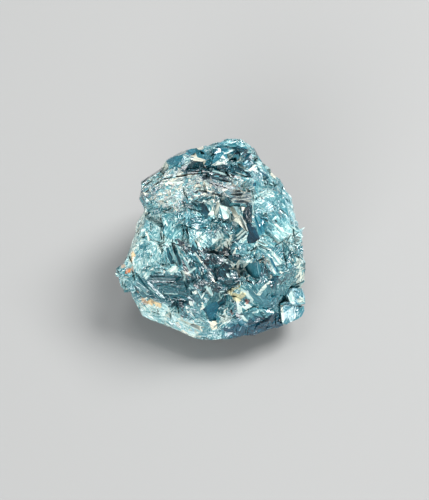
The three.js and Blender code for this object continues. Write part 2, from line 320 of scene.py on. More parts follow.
@dataclass(frozen=True)
class Facet:
    """A flat facet broken into the broad face, or a region that only differs in tone.

    corners are its outline in u and v. depth is how far under the skin it lies, and tilt its
    slope across the outline's first side, both in millimetres. With a depth of 0 nothing is
    cut, and the outline is ragged. Its skin follows from shade and warmth.
    """

    name: str
    corners: tuple[Pair, ...]
    shade: float
    warmth: float = 0.0
    depth: float = 0.03
    tilt: float = 0.0

    @property
    def sides(self) -> list[tuple[Pair, Pair]]:
        """The outline's sides, each from corner to corner."""
        return list(zip(self.corners, (*self.corners[1:], self.corners[0])))

    @property
    def kind(self) -> FacetSkin:
        """Which skin it has: the dark and the bluest facets are clear as glass."""
        if self.shade < 0.24 or (self.shade < 0.6 and self.warmth < -0.34):
            return FacetSkin.CLEAR
        if self.shade < 0.5:
            return FacetSkin.DARK
        return FacetSkin.PALE if self.shade < 0.85 else FacetSkin.WHITE

    @property
    def skin(self) -> Skin:
        """Its skin."""
        return replace(self.kind.value, shade=self.shade, warmth=self.warmth)

    @property
    def laths(self) -> Laths:
        """The small laths along its longest side, which are fewest where it is clear."""
        clear = self.kind is FacetSkin.CLEAR
        start, end = max(self.sides, key=lambda side: math.dist(*side))
        run = math.degrees(math.atan2(end[1] - start[1], end[0] - start[0]))
        if not self.depth:
            return Laths(12.0 if clear else 23.0, run, 30.0, (0.15, 0.6), (0.06, 0.16))
        return Laths(2.0 if clear else 10.0, run, 8.0, (0.1, 0.4), (0.03, 0.07), True)

    @property
    def fray(self) -> float:
        """How far its edge wanders, in millimetres: not at all where it is cut."""
        return 0.0 if self.depth else 0.06

    def nearness(self, u: np.ndarray, v: np.ndarray) -> np.ndarray:
        """Whether places lie in the outline, in the way that a patch's nearness says it.

        Args:
            u: the places across the broad face.
            v: the places up the broad face.

        Returns:
            0 for each place inside, and far above 1 for the others.
        """
        inside = np.zeros(np.shape(u), bool)
        for (u0, v0), (u1, v1) in self.sides:
            if v0 != v1:
                inside ^= ((v0 > v) != (v1 > v)) & (u < (u1 - u0) * (v - v0) / (v1 - v0) + u0)
        return np.where(inside, 0.0, 9.0)


def lath(
    name: str, start: Pair, end: Pair, width: float, shade: float, warmth: float, tilt: float = 0.35
) -> Facet:
    """Lays out a long lath with short pointed ends.

    Args:
        name: the lath's name.
        start: one point, in u and v.
        end: the other point.
        width: how wide it is, in millimetres.
        shade: how light it is.
        warmth: how warm its tone is.
        tilt: its slope across its first side, in millimetres.

    Returns:
        The lath as a facet.
    """
    along = np.subtract(end, start)
    along = along / np.hypot(*along)
    across = np.array((-along[1], along[0])) * width / 2
    nib = along * width * 0.8
    corners = (start, start + nib + across, end - nib + across, end, end - nib - across, start + nib - across)
    return Facet(name, tuple((float(u), float(v)) for u, v in corners), shade, warmth, 0.02, tilt)


FACETS = (
    Facet("crown_teal", (
        (-2.03, 3.48), (-1.81, 3.62), (-1.41, 3.48), (-1.23, 3.57), (-1.32, 3.26), (-1.59, 3.18),
        (-1.94, 3.22)), 0.36, -0.5, 0.0),
    Facet("crown_left_pale", (
        (-2.25, 3.13), (-2.03, 3.44), (-1.9, 3.22), (-1.94, 3.04), (-2.16, 3.04)), 0.84, 0.4),
    Facet("edge_slope", (
        (-3.13, 2.56), (-2.82, 2.95), (-2.38, 3.22), (-2.21, 3.18), (-2.65, 2.87),
        (-3.0, 2.56)), 0.4, 0.0, 0.0),
    Facet("edge_pane", (
        (-3.09, 2.47), (-2.73, 2.82), (-2.25, 3.13), (-2.03, 3.13), (-2.16, 3.0), (-2.65, 2.69),
        (-2.91, 2.43)), 0.12, 0.0),
    Facet("crown_rose", ((-1.68, 3.62), (-1.41, 3.88), (-1.15, 3.97), (-1.1, 3.75), (-1.41, 3.62)), 0.6, 0.8),
    Facet("crown_top_teal", (
        (-1.23, 4.01), (-0.97, 4.1), (-0.71, 3.97), (-0.4, 3.75), (-0.75, 3.75), (-0.88, 3.62),
        (-1.1, 3.75)), 0.34, -0.5),
    Facet("crown_grey", (
        (-1.32, 3.44), (-1.06, 3.66), (-0.88, 3.57), (-0.79, 3.31), (-1.23, 3.22)), 0.5, 0.4, 0.0),
    # Painted highlight: a cream facet standing for a glint of light on the crown.
    Facet("crown_cream", (
        (-0.93, 3.62), (-0.75, 3.75), (-0.53, 3.75), (-0.26, 3.4), (-0.35, 3.26),
        (-0.79, 3.31)), 0.92, 0.8, 0.07),
    Facet("crown_blue_band", ((-0.57, 3.88), (-0.4, 3.84), (-0.13, 3.44), (-0.26, 3.35)), 0.55, -0.7),
    Facet("crown_knob", (
        (-0.66, 3.97), (-0.57, 4.15), (-0.4, 4.15), (-0.35, 3.97), (-0.53, 3.88)), 0.82, 0.8),
    Facet("crown_pale", (
        (-0.35, 3.88), (-0.22, 4.19), (0.13, 4.32), (0.71, 4.41), (0.44, 4.15), (0.09, 3.97),
        (-0.13, 3.79)), 0.6, -0.3, 0.0),
    Facet("crown_blue", (
        (-0.09, 3.79), (0.22, 3.97), (0.71, 4.1), (0.84, 4.06), (0.66, 3.88), (0.31, 3.7),
        (0.0, 3.62)), 0.32, -0.6, 0.0),
    Facet("crown_ice", (
        (-0.26, 3.22), (0.04, 3.53), (0.44, 3.79), (0.75, 3.88), (0.66, 3.7), (0.31, 3.44),
        (0.04, 3.18)), 0.44, -0.5, 0.0),
    # Painted highlight: a second cream glint of light on the crown.
    Facet("crown_cream_right", (
        (0.26, 3.31), (0.66, 3.79), (0.84, 3.57), (0.53, 3.18), (0.35, 3.18)), 0.72, 0.5, 0.0),
    Facet("crown_navy", (
        (0.79, 3.84), (1.06, 4.01), (1.37, 4.01), (1.46, 3.88), (1.23, 3.75), (1.01, 3.62)), 0.12, -0.5, 0.0),
    Facet("crown_violet", ((1.15, 3.7), (1.37, 3.88), (1.5, 3.7), (1.37, 3.57)), 0.3, 0.8, 0.0),
    Facet("crown_green", ((0.57, 3.26), (0.75, 3.48), (1.06, 3.57), (1.1, 3.4), (0.84, 3.31)), 0.28, 0.0),
    lath("crown_slat_1", (1.1, 3.4), (1.32, 3.57), 0.07, 0.9, 0.3),
    lath("crown_slat_2", (1.23, 3.35), (1.46, 3.53), 0.07, 0.85, -0.3),
    lath("crown_slat_3", (1.41, 3.26), (1.59, 3.44), 0.08, 0.8, -0.6),
    Facet("crown_shadow", (
        (1.5, 3.84), (1.63, 3.84), (1.81, 3.57), (1.76, 3.31), (1.59, 3.31), (1.46, 3.57)), 0.12, -0.4, 0.0),
    Facet("crown_blue_low", ((1.5, 3.22), (1.68, 3.31), (1.76, 3.09), (1.59, 2.95)), 0.4, -0.8),
    lath("crown_arc", (1.1, 3.31), (1.5, 2.95), 0.11, 0.74, 0.3),
    lath("crown_arc_dark", (0.93, 3.26), (1.63, 2.73), 0.09, 0.14, -0.5),
    Facet("crown_arc_foot", ((1.37, 2.91), (1.59, 2.87), (1.72, 2.65), (1.54, 2.65)), 0.16, -0.6),
    lath("crown_arc_green", (0.93, 3.04), (1.37, 2.69), 0.1, 0.75, 0.4),
    Facet("crown_rim", (
        (0.62, 4.32), (1.23, 4.41), (1.68, 4.1), (1.98, 3.62), (2.03, 3.26), (1.81, 3.35), (1.72, 3.7),
        (1.5, 4.01), (1.1, 4.1), (0.71, 4.15)), 0.68, -0.1, 0.0),
    Facet("crown_bead", ((1.9, 3.35), (2.07, 3.48), (2.21, 3.31), (2.07, 3.18)), 0.9, -0.2),
    lath("crown_streak", (1.54, 2.87), (1.9, 3.22), 0.13, 0.95, 0.7),
    Facet("ridge_pane", (
        (-1.5, 3.0), (-1.19, 3.13), (-0.88, 3.31), (-0.53, 3.35), (-0.35, 3.13), (-0.18, 2.95), (-0.44, 2.91),
        (-0.97, 2.87)), 0.12, -0.1, 0.0),
    lath("ridge_line", (-1.37, 3.13), (-0.88, 3.31), 0.07, 0.88, 0.1),
    Facet("ridge_right", ((-0.13, 3.13), (0.62, 3.13), (0.62, 2.95), (-0.09, 2.95)), 0.24, -0.1, 0.0),
    Facet("ridge_far", (
        (0.62, 3.13), (1.06, 3.26), (0.97, 3.04), (1.15, 2.91), (0.75, 2.73)), 0.2, -0.3, 0.0),
    lath("grain_bar", (-1.81, 2.43), (-1.32, 2.43), 0.08, 0.92, 0.3),
    Facet("grain_hole", (
        (-0.49, 2.6), (-0.31, 2.73), (-0.09, 2.69), (-0.09, 2.56), (-0.35, 2.51)), 0.08, 0.7),
    lath("grain_line_1", (-0.26, 2.47), (0.18, 2.25), 0.05, 0.16, 0.7),
    lath("grain_line_2", (0.09, 2.34), (0.79, 2.12), 0.06, 0.2, 0.6),
    lath("grain_line_3", (-0.09, 2.69), (0.53, 2.56), 0.05, 0.22, 0.5),
    lath("grain_bar_2", (0.04, 2.95), (0.62, 2.78), 0.07, 0.85, 0.3),
    lath("grain_bar_3", (0.71, 2.56), (1.32, 2.47), 0.06, 0.8, 0.4),
    Facet("shoulder_teal", (
        (-2.87, 1.41), (-2.65, 1.63), (-2.29, 1.54), (-2.38, 1.37), (-2.73, 1.19)), 0.62, -0.1, 0.0),
    Facet("shoulder_dark", (
        (-2.6, 1.15), (-2.38, 1.41), (-2.12, 1.46), (-2.12, 1.15), (-2.29, 1.06)), 0.46, -0.2, 0.0),
    lath("grain_lens", (-0.93, 1.59), (-0.57, 1.37), 0.1, 0.12, -0.2),
    Facet("eye", (
        (-0.53, 1.68), (-0.31, 1.85), (-0.04, 1.76), (-0.09, 1.5), (-0.35, 1.41),
        (-0.53, 1.5)), 0.38, -0.1, 0.0),
    Facet("eye_white", ((-0.44, 1.59), (-0.35, 1.68), (-0.22, 1.59), (-0.31, 1.46)), 0.97, 0.1, 0.06),
    lath("striated_1", (0.84, 2.03), (1.63, 2.03), 0.11, 0.6, 0.9),
    lath("striated_2", (0.75, 1.87), (1.72, 1.9), 0.12, 0.5, 0.8),
    lath("striated_3", (0.79, 1.72), (1.72, 1.76), 0.12, 0.62, 0.8),
    lath("striated_4", (0.93, 1.59), (1.72, 1.59), 0.11, 0.56, 0.8),
    lath("striated_5", (0.62, 1.48), (1.63, 1.41), 0.15, 0.48, -0.1),
    lath("rim_1", (1.19, 2.29), (1.68, 2.03), 0.09, 0.72, 0.3),
    lath("rim_2", (1.68, 2.12), (1.81, 1.54), 0.1, 0.74, 0.2),
    lath("rim_3", (1.76, 1.63), (1.81, 0.97), 0.11, 0.74, 0.2),
    lath("rim_4", (1.76, 1.06), (2.16, 0.13), 0.11, 0.78, 0.4),
    lath("rim_white", (1.76, 1.01), (2.07, 0.53), 0.07, 0.93, 0.3),
    # Painted shade, in part: the fissure's facets are near black and navy, for the clear crystal's dark depth
    # and also for the shade down in the crack.
    Facet("fissure_top", (
        (1.32, 1.15), (1.46, 1.37), (1.63, 1.46), (1.72, 1.19), (1.72, 0.71), (1.54, 0.57),
        (1.32, 0.88)), 0.1, -0.4, 0.12),
    Facet("fissure_foot", (
        (1.46, 0.62), (1.68, 0.66), (1.85, 0.49), (2.07, -0.0), (1.81, -0.18), (1.54, -0.22), (1.5, 0.04),
        (1.59, 0.26)), 0.1, -0.8, 0.13),
    Facet("fissure_navy", (
        (1.59, 0.53), (1.76, 0.57), (1.94, 0.22), (1.76, 0.13), (1.63, 0.31)), 0.18, -1.0, 0.13),
    Facet("fissure_speck", ((1.46, 1.15), (1.54, 1.19), (1.59, 1.06), (1.5, 1.01)), 0.95, 0.0),
    lath("fissure_sill", (1.5, 0.62), (1.81, 0.53), 0.05, 0.5, 0.0),
    # Painted highlights, in part: the fan's cream and white laths that follow are milky frost of their own
    # and also stand for light caught on them.
    Facet("fan_long", (
        (0.75, 1.28), (0.88, 1.41), (1.23, 0.88), (1.54, 0.31), (1.41, 0.35), (1.06, 0.75)), 0.95, 0.7, 0.06),
    Facet("fan_ice", ((0.88, 1.41), (1.15, 1.32), (1.23, 1.15), (1.23, 0.88), (1.01, 1.19)), 0.86, -0.1),
    Facet("fan_broad", (
        (0.31, 1.54), (0.49, 1.59), (0.75, 1.23), (0.79, 0.88), (0.66, 0.84), (0.49, 0.84),
        (0.4, 1.19)), 0.86, 0.35, 0.06),
    lath("fan_split", (0.75, 1.15), (0.79, 0.66), 0.07, 0.86, 0.3),
    Facet("fan_upright", (
        (0.22, 1.59), (0.35, 1.5), (0.26, 1.1), (0.13, 0.93), (0.09, 1.15)), 0.93, 0.6, 0.05),
    Facet("fan_tooth", ((-0.18, 1.01), (0.0, 1.28), (0.13, 1.15), (0.04, 0.97)), 0.92, 0.5),
    lath("fan_thin_1", (0.0, 1.5), (0.13, 1.19), 0.06, 0.8, 0.1),
    lath("fan_thin_2", (-0.18, 1.5), (0.04, 1.72), 0.06, 0.85, 0.4),
    lath("fan_slat_1", (1.01, 0.09), (1.37, 0.4), 0.08, 0.93, 0.4),
    lath("fan_slat_2", (1.06, -0.04), (1.5, 0.35), 0.09, 0.95, 0.3),
    lath("fan_slat_3", (1.28, -0.13), (1.54, 0.18), 0.1, 0.8, 0.3),
    Facet("fan_shade", (
        (-0.13, 0.97), (0.18, 0.88), (0.44, 0.84), (0.66, 0.57), (0.18, 0.53),
        (-0.26, 0.71)), 0.26, -0.1, 0.0),
    lath("fan_gap", (0.79, 1.1), (1.23, 0.44), 0.09, 0.3, 0.0),
    Facet("well", (
        (-0.44, 1.28), (-0.31, 1.46), (-0.13, 1.23), (-0.18, 0.97), (-0.4, 0.88)), 0.13, -0.3, 0.0),
    Facet("centre_dark", (
        (-0.97, 0.88), (-0.44, 0.93), (-0.26, 0.66), (-0.35, 0.35), (-0.79, 0.35),
        (-1.01, 0.57)), 0.36, -0.2, 0.0),
    Facet("centre_ice", (
        (-1.28, 1.1), (-0.93, 1.23), (-0.79, 1.06), (-0.97, 0.75), (-1.1, 0.35),
        (-1.28, 0.53)), 0.62, -0.3, 0.0),
    Facet("centre_glass", (
        (-1.15, 0.13), (-0.97, 0.31), (-0.75, 0.22), (-0.66, -0.04), (-0.79, -0.26),
        (-1.01, -0.22)), 0.55, -0.1, 0.0),
    Facet("centre_glass_2", (
        (-0.66, 0.22), (-0.44, 0.35), (-0.22, 0.13), (-0.31, -0.09), (-0.53, -0.04)), 0.8, 0.1, 0.0),
    Facet("centre_white", (
        (-0.75, -0.09), (-0.53, -0.0), (-0.44, -0.18), (-0.57, -0.31), (-0.71, -0.26)), 0.95, 0.4, 0.0),
    Facet("centre_white_2", (
        (0.09, 0.04), (0.22, 0.22), (0.44, 0.18), (0.44, -0.04), (0.26, -0.13)), 0.92, 0.2, 0.0),
    Facet("centre_white_3", (
        (0.57, -0.35), (0.62, -0.04), (0.84, 0.13), (0.84, -0.13), (0.71, -0.4)), 0.95, 0.5, 0.0),
    lath("centre_slat_1", (0.35, -0.04), (0.49, -0.49), 0.07, 0.9, 0.3),
    lath("centre_slat_2", (0.18, -0.18), (0.35, -0.49), 0.07, 0.88, 0.1),
    Facet("centre_cream", ((0.97, -0.44), (1.1, -0.31), (1.28, -0.44), (1.19, -0.57)), 0.92, 0.5, 0.0),
    Facet("centre_teal", ((0.62, -0.35), (0.97, -0.22), (1.01, -0.49), (0.75, -0.57)), 0.28, -0.2, 0.0),
    lath("centre_line", (-0.04, 0.71), (0.31, 0.53), 0.05, 0.85, 0.0),
    lath("centre_line_2", (0.31, 0.49), (0.84, 0.26), 0.05, 0.78, 0.2),
    Facet("violet_pane", (
        (-1.54, -0.04), (-1.23, -0.09), (-1.06, -0.35), (-1.1, -0.62), (-1.32, -0.44)), 0.4, 0.8, 0.0),
    Facet("pane_left", (
        (-1.98, -0.4), (-1.85, -0.35), (-1.59, -1.06), (-1.76, -1.1), (-1.9, -0.79)), 0.2, -0.1),
    Facet("pane_lath", ((-1.85, -0.26), (-1.72, -0.31), (-1.41, -1.1), (-1.54, -1.15)), 0.68, 0.4),
    Facet("pane_right", (
        (-1.76, -0.13), (-1.59, -0.26), (-1.28, -1.01), (-1.37, -1.19), (-1.46, -1.01),
        (-1.68, -0.49)), 0.12, -0.1),
    lath("pane_tick", (-2.12, -0.26), (-1.85, -0.35), 0.07, 0.14, 0.0),
    lath("long_ridge_1", (-1.59, -0.0), (-1.15, -0.93), 0.13, 0.7, 0.0),
    lath("long_ridge_2", (-1.23, -0.79), (-0.84, -1.5), 0.11, 0.72, 0.0),
    lath("long_ridge_3", (-1.32, -1.28), (-1.1, -1.9), 0.14, 0.88, 0.1),
    lath("strip_blue", (-2.25, 0.93), (-2.07, 0.44), 0.08, 0.16, -0.4),
    lath("strip_white", (-2.07, 0.93), (-1.9, 0.53), 0.08, 0.92, 0.3),
    Facet("shoulder_ice", (
        (-2.73, 0.97), (-2.43, 1.06), (-2.25, 0.79), (-2.07, 0.26), (-2.38, 0.04), (-2.47, 0.53),
        (-2.73, 0.71)), 0.76, -0.1, 0.0),
    lath("shoulder_lath", (-2.87, 0.35), (-2.69, -0.13), 0.1, 0.92, 0.5),
    Facet("shoulder_knot", (
        (-2.43, -0.26), (-2.29, -0.18), (-2.16, -0.35), (-2.25, -0.57), (-2.43, -0.49)), 0.82, 0.2, 0.0),
    Facet("rim_cream", (
        (-2.95, 1.32), (-2.78, 1.1), (-3.13, 0.71), (-3.18, 0.31), (-3.35, -0.09), (-3.57, -0.57),
        (-3.75, -0.88), (-3.88, -1.01), (-3.75, -0.53), (-3.57, -0.18), (-3.44, 0.31),
        (-3.48, 0.75)), 0.8, 0.4, 0.0),
    Facet("slope_blue", (
        (-3.35, -0.31), (-3.13, -0.31), (-3.09, -0.75), (-3.26, -0.84), (-3.35, -0.57)), 0.55, -0.3, 0.0),
    Facet("basin_slab", (
        (-0.75, -0.53), (-0.31, -0.49), (0.18, -0.57), (0.44, -0.71), (0.04, -0.79),
        (-0.4, -0.71)), 0.38, 0.6, 0.0),
    Facet("basin_core", (
        (-0.22, -0.75), (0.09, -0.79), (0.31, -1.01), (0.57, -0.97), (0.75, -1.19), (0.66, -1.5),
        (0.44, -1.76), (0.13, -1.76), (-0.04, -1.46), (-0.22, -1.1)), 0.07, -0.15, 0.0),
    Facet("basin_west", (
        (-0.71, -0.75), (-0.44, -0.79), (-0.18, -1.28), (-0.26, -1.54), (-0.62, -1.41),
        (-0.79, -1.06)), 0.24, 0.0, 0.0),
    Facet("basin_north", (
        (0.44, -0.71), (0.88, -0.71), (1.28, -0.79), (1.15, -0.93), (0.71, -0.88)), 0.12, 0.1, 0.0),
    Facet("basin_notch", (
        (-1.15, -0.31), (-0.84, -0.31), (-0.62, -0.53), (-0.84, -0.66), (-1.06, -0.53)), 0.16, 0.2, 0.0),
    Facet("basin_floor", (
        (0.53, -1.81), (1.06, -1.76), (1.1, -2.07), (0.75, -2.25), (0.31, -2.07)), 0.16, 0.0, 0.0),
    lath("basin_streak_1", (-0.75, -0.57), (-0.31, -1.19), 0.07, 0.78, 0.8),
    lath("basin_streak_2", (-0.35, -1.1), (0.09, -1.72), 0.08, 0.76, 0.8),
    lath("basin_streak_3", (-1.06, -1.5), (-0.66, -1.23), 0.08, 0.95, 0.1),
    lath("basin_streak_4", (-1.06, -1.1), (-0.88, -0.79), 0.07, 0.85, 0.2),
    lath("basin_streak_5", (-0.13, -1.15), (0.4, -1.15), 0.06, 0.55, 0.0),
    lath("basin_streak_6", (0.44, -0.84), (0.71, -1.1), 0.07, 0.88, 0.3),
    lath("basin_streak_7", (0.62, -1.46), (0.75, -1.68), 0.09, 0.9, 0.2),
    lath("basin_streak_8", (0.93, -1.1), (0.88, -1.37), 0.07, 0.85, 0.6),
    Facet("window_lath", (
        (1.06, -1.06), (1.23, -0.88), (1.19, -1.06), (1.15, -1.32), (1.23, -1.63), (1.15, -1.68),
        (1.06, -1.37)), 0.95, 0.5, 0.05),
    Facet("window_slot", (
        (1.23, -1.06), (1.32, -1.01), (1.37, -1.28), (1.28, -1.63), (1.23, -1.5)), 0.06, 0.6),
    lath("window_green", (1.32, -1.01), (1.32, -1.59), 0.07, 0.72, 0.4),
    lath("window_green_2", (1.32, -1.59), (1.15, -2.12), 0.08, 0.7, 0.2),
    Facet("window", (
        (1.41, -1.23), (1.59, -1.06), (1.9, -1.01), (2.07, -1.1), (2.12, -1.46), (1.98, -1.72), (1.76, -1.68),
        (1.54, -1.5)), 0.52, -0.5, 0.08),
    Facet("window_brown", (
        (2.07, -1.1), (2.38, -1.1), (2.51, -1.37), (2.43, -1.68), (2.16, -1.59),
        (2.12, -1.37)), 0.3, 0.35, 0.0),
    Facet("window_foot", (
        (1.76, -1.68), (2.03, -1.59), (2.29, -1.68), (2.12, -1.9), (1.9, -1.85)), 0.2, -0.2, 0.0),
    Facet("window_top", ((1.32, -1.01), (1.63, -0.84), (1.76, -0.97), (1.54, -1.1)), 0.86, 0.4, 0.0),
    Facet("window_beige", (
        (1.94, -0.97), (2.29, -0.84), (2.56, -0.97), (2.6, -1.28), (2.38, -1.15),
        (2.16, -1.06)), 0.68, 0.8, 0.0),
    lath("window_side", (2.34, -0.75), (2.73, -1.54), 0.11, 0.74, 0.4),
    lath("window_blue", (2.51, -0.79), (2.82, -1.46), 0.1, 0.32, -1.0),
    Facet("window_oval", (
        (2.6, -0.84), (2.73, -0.71), (2.91, -0.88), (2.87, -1.06), (2.69, -1.01)), 0.8, 0.2),
    Facet("white_diagonal", (
        (1.9, -2.43), (2.16, -2.07), (2.51, -1.76), (2.47, -1.94), (2.21, -2.25),
        (2.07, -2.47)), 0.84, 0.1, 0.03),
    Facet("navy_pane", (
        (2.29, -2.03), (2.65, -1.63), (2.95, -1.81), (2.82, -2.03), (2.56, -2.12)), 0.16, -0.5, 0.0),
    lath("ray_1", (1.85, -0.04), (2.43, -0.31), 0.06, 0.86, 0.3),
    lath("ray_2", (1.85, -0.18), (2.56, -0.49), 0.06, 0.9, 0.3),
    lath("ray_3", (2.16, -0.04), (2.73, -0.35), 0.06, 0.82, 0.0),
    lath("ray_4", (1.94, -0.35), (2.47, -0.66), 0.06, 0.75, 0.1),
    lath("ray_gap", (1.94, -0.31), (2.51, -0.53), 0.05, 0.2, 0.0),
    lath("right_line", (3.09, -0.04), (3.57, -0.57), 0.08, 0.92, 0.4),
    Facet("right_dark", (
        (3.09, -0.88), (3.35, -0.62), (3.62, -0.53), (3.44, -0.75), (3.22, -0.93)), 0.2, 0.2, 0.0),
    Facet("right_white", (
        (3.0, 0.26), (3.44, 0.35), (3.88, 0.13), (3.79, -0.31), (3.44, -0.35),
        (3.13, -0.04)), 0.84, -0.1, 0.0),
    lath("right_spur", (3.7, -0.49), (4.01, -0.18), 0.11, 0.85, 0.0),
    Facet("lobe_blue", (
        (1.85, 1.15), (2.12, 1.06), (2.29, 0.71), (2.21, 0.31), (1.98, 0.62)), 0.42, -0.7, 0.0),
    lath("lobe_arc_1", (2.12, 2.87), (2.38, 2.73), 0.09, 0.28, -0.8),
    lath("lobe_arc_2", (2.38, 2.78), (2.43, 2.38), 0.09, 0.3, -0.8),
    Facet("lobe_spot", ((1.76, 2.38), (1.9, 2.43), (1.9, 2.25), (1.76, 2.25)), 0.28, -0.8),
    Facet("lobe_cyan", (
        (2.25, 1.54), (2.56, 1.63), (2.65, 1.37), (2.43, 1.19), (2.21, 1.28)), 0.64, -0.4, 0.0),
    Facet("lobe_green", ((2.29, 2.12), (2.6, 2.07), (2.82, 1.85), (2.56, 1.76), (2.29, 1.9)), 0.76, 0.3, 0.0),
    Facet("lobe_pale", (
        (1.76, 2.07), (2.03, 1.98), (2.21, 1.68), (2.03, 1.46), (1.81, 1.72)), 0.72, 0.0, 0.0),
    Facet("bead_1", (
        (3.62, -0.93), (3.75, -0.79), (3.92, -1.01), (3.88, -1.28), (3.7, -1.28)), 0.92, 0.4, 0.0),
    Facet("bead_2", (
        (3.7, -1.46), (3.92, -1.37), (4.06, -1.63), (3.92, -1.94), (3.75, -1.85)), 0.9, 0.5, 0.0),
    Facet("bead_3", ((3.84, -1.98), (4.06, -1.94), (4.19, -2.16), (4.01, -2.29)), 0.85, 0.4, 0.0),
    Facet("bead_top", ((2.56, 2.87), (2.73, 3.0), (2.91, 2.82), (2.82, 2.65), (2.6, 2.69)), 0.88, 0.8, 0.0),
    Facet("corner_top", (
        (3.35, -2.38), (3.53, -2.16), (3.88, -2.25), (4.1, -2.56), (4.01, -2.82),
        (3.62, -2.78)), 0.6, -0.6, 0.0),
    Facet("corner_white", (
        (3.35, -2.34), (3.53, -2.25), (3.66, -2.65), (3.53, -2.78), (3.4, -2.6)), 0.92, 0.0),
    Facet("corner_rose", ((3.75, -2.6), (4.01, -2.65), (3.97, -2.82), (3.75, -2.78)), 0.9, 0.3),
    Facet("corner_gap", ((2.82, -2.87), (3.18, -2.47), (3.31, -2.56), (3.09, -2.87)), 0.24, -0.1, 0.0),
    lath("corner_edge", (3.04, -2.87), (3.13, -3.7), 0.11, 0.92, 0.5),
    Facet("corner_sky", (
        (3.18, -2.78), (3.44, -2.73), (3.79, -2.95), (3.84, -3.26), (3.48, -3.13),
        (3.18, -3.04)), 0.6, -0.7, 0.0),
    Facet("corner_ice", (
        (3.18, -3.09), (3.48, -3.09), (3.79, -3.31), (3.53, -3.62), (3.22, -3.62)), 0.88, -0.5, 0.0),
    Facet("lower_teal", (
        (1.98, -2.43), (2.65, -2.34), (2.91, -2.51), (2.82, -2.95), (2.47, -3.09),
        (2.03, -3.0)), 0.44, -0.4, 0.0),
    Facet("lower_lath", ((1.28, -2.25), (1.5, -2.21), (1.81, -2.65), (1.68, -2.78)), 0.9, 0.0, 0.05),
    lath("lower_line", (1.63, -2.65), (2.03, -3.0), 0.06, 0.78, 0.0),
    lath("lower_line_2", (1.72, -3.22), (2.25, -3.04), 0.06, 0.8, 0.0),
    Facet("lower_white", ((1.06, -3.0), (1.19, -2.91), (1.28, -3.09), (1.15, -3.18)), 0.92, 0.0),
    Facet("lower_lath_2", ((1.15, -3.26), (1.32, -3.26), (1.59, -3.62), (1.37, -3.57)), 0.92, 0.1, 0.05),
    Facet("lower_lens", ((1.06, -3.18), (1.37, -3.26), (1.23, -3.48), (1.01, -3.4)), 0.12, 0.0),
    Facet("brow_pane", (
        (1.54, -3.62), (2.21, -3.66), (3.0, -3.48), (2.95, -3.88), (2.38, -4.15),
        (1.59, -4.32)), 0.2, -0.9, 0.0),
    Facet("brow_blue", (
        (0.71, -4.15), (0.88, -3.7), (1.23, -3.53), (1.5, -3.75), (1.54, -4.19), (1.23, -4.41),
        (0.84, -4.41)), 0.24, -0.9, 0.0),
    Facet("brow_cyan", ((1.1, -3.62), (1.32, -3.53), (1.41, -3.7), (1.23, -3.84)), 0.52, -1.0),
    Facet("lower_white_2", (
        (0.31, -3.31), (0.71, -3.26), (0.84, -3.53), (0.57, -3.7), (0.35, -3.53)), 0.84, 0.3, 0.0),
    Facet("band_teal", (
        (-0.71, -3.97), (-0.22, -3.88), (-0.04, -4.15), (-0.26, -4.41), (-0.57, -4.37)), 0.58, -0.3, 0.0),
    Facet("band_cream", ((-0.18, -3.62), (0.09, -3.53), (0.26, -3.79), (0.0, -3.84)), 0.92, 1.0, 0.0),
    Facet("band_cream_2", ((-0.62, -3.79), (-0.4, -3.75), (-0.35, -3.97), (-0.57, -3.97)), 0.92, 0.7, 0.0),
    Facet("band_shade", (
        (-0.97, -3.18), (-0.62, -3.09), (-0.26, -3.35), (-0.31, -3.62), (-0.71, -3.4)), 0.5, -0.2, 0.0),
    Facet("blue_pane", (
        (-0.4, -3.04), (-0.04, -2.78), (0.22, -2.73), (0.31, -2.95), (0.22, -3.22), (0.18, -3.57),
        (-0.13, -3.57), (-0.22, -3.31)), 0.44, -1.0, 0.1),
    Facet("blue_pane_top", ((-0.04, -2.78), (0.53, -2.6), (0.57, -2.78), (0.31, -3.0)), 0.22, -0.2),
    lath("scoop_line_1", (-2.73, -1.59), (-1.41, -1.63), 0.11, 0.34, 0.5),
    lath("scoop_line_2", (-2.69, -1.74), (-1.5, -1.76), 0.1, 0.48, 0.5),
    lath("scoop_line_3", (-2.82, -1.85), (-1.32, -1.9), 0.11, 0.3, 0.3),
    lath("scoop_line_4", (-2.65, -2.01), (-1.15, -2.07), 0.11, 0.4, 0.1),
    lath("scoop_line_5", (-2.51, -2.16), (-0.97, -2.25), 0.12, 0.34, 0.0),
    lath("scoop_white", (-2.16, -2.38), (-1.46, -2.4), 0.06, 0.85, 0.2),
    Facet("scoop_glass", (
        (-2.07, -2.43), (-0.97, -2.29), (-0.88, -2.6), (-1.1, -2.78), (-1.76, -2.73)), 0.3, -0.2, 0.0),
    Facet("scoop_foot", (
        (-1.81, -2.78), (-1.1, -2.73), (-0.93, -2.78), (-1.32, -3.04), (-1.63, -3.0)), 0.11, -0.4, 0.0),
    lath("scoop_dark", (-3.22, -1.59), (-2.78, -2.21), 0.07, 0.2, 0.0),
    lath("scoop_run_1", (-3.0, -1.81), (-2.29, -2.6), 0.1, 0.5, 0.1),
    lath("scoop_run_2", (-2.82, -1.85), (-2.03, -2.65), 0.1, 0.4, 0.0),
    lath("scoop_run_3", (-2.51, -2.12), (-2.03, -2.65), 0.06, 0.62, 0.1),
    lath("scoop_run_4", (-3.18, -2.03), (-2.65, -2.65), 0.11, 0.55, 0.2),
    lath("scoop_run_5", (-3.44, -1.98), (-3.0, -2.6), 0.11, 0.5, 0.1),
    Facet("scoop_flecks", ((-3.0, -1.59), (-2.78, -1.41), (-2.65, -1.54), (-2.87, -1.81)), 0.86, 0.2),
    Facet("scoop_top", (
        (-1.94, -1.37), (-1.68, -1.19), (-1.41, -1.23), (-1.5, -1.46), (-1.76, -1.46)), 0.93, 0.3, 0.05),
    lath("scoop_east", (-0.97, -1.98), (-0.35, -2.6), 0.06, 0.85, 0.0),
    Facet("east_lath", (
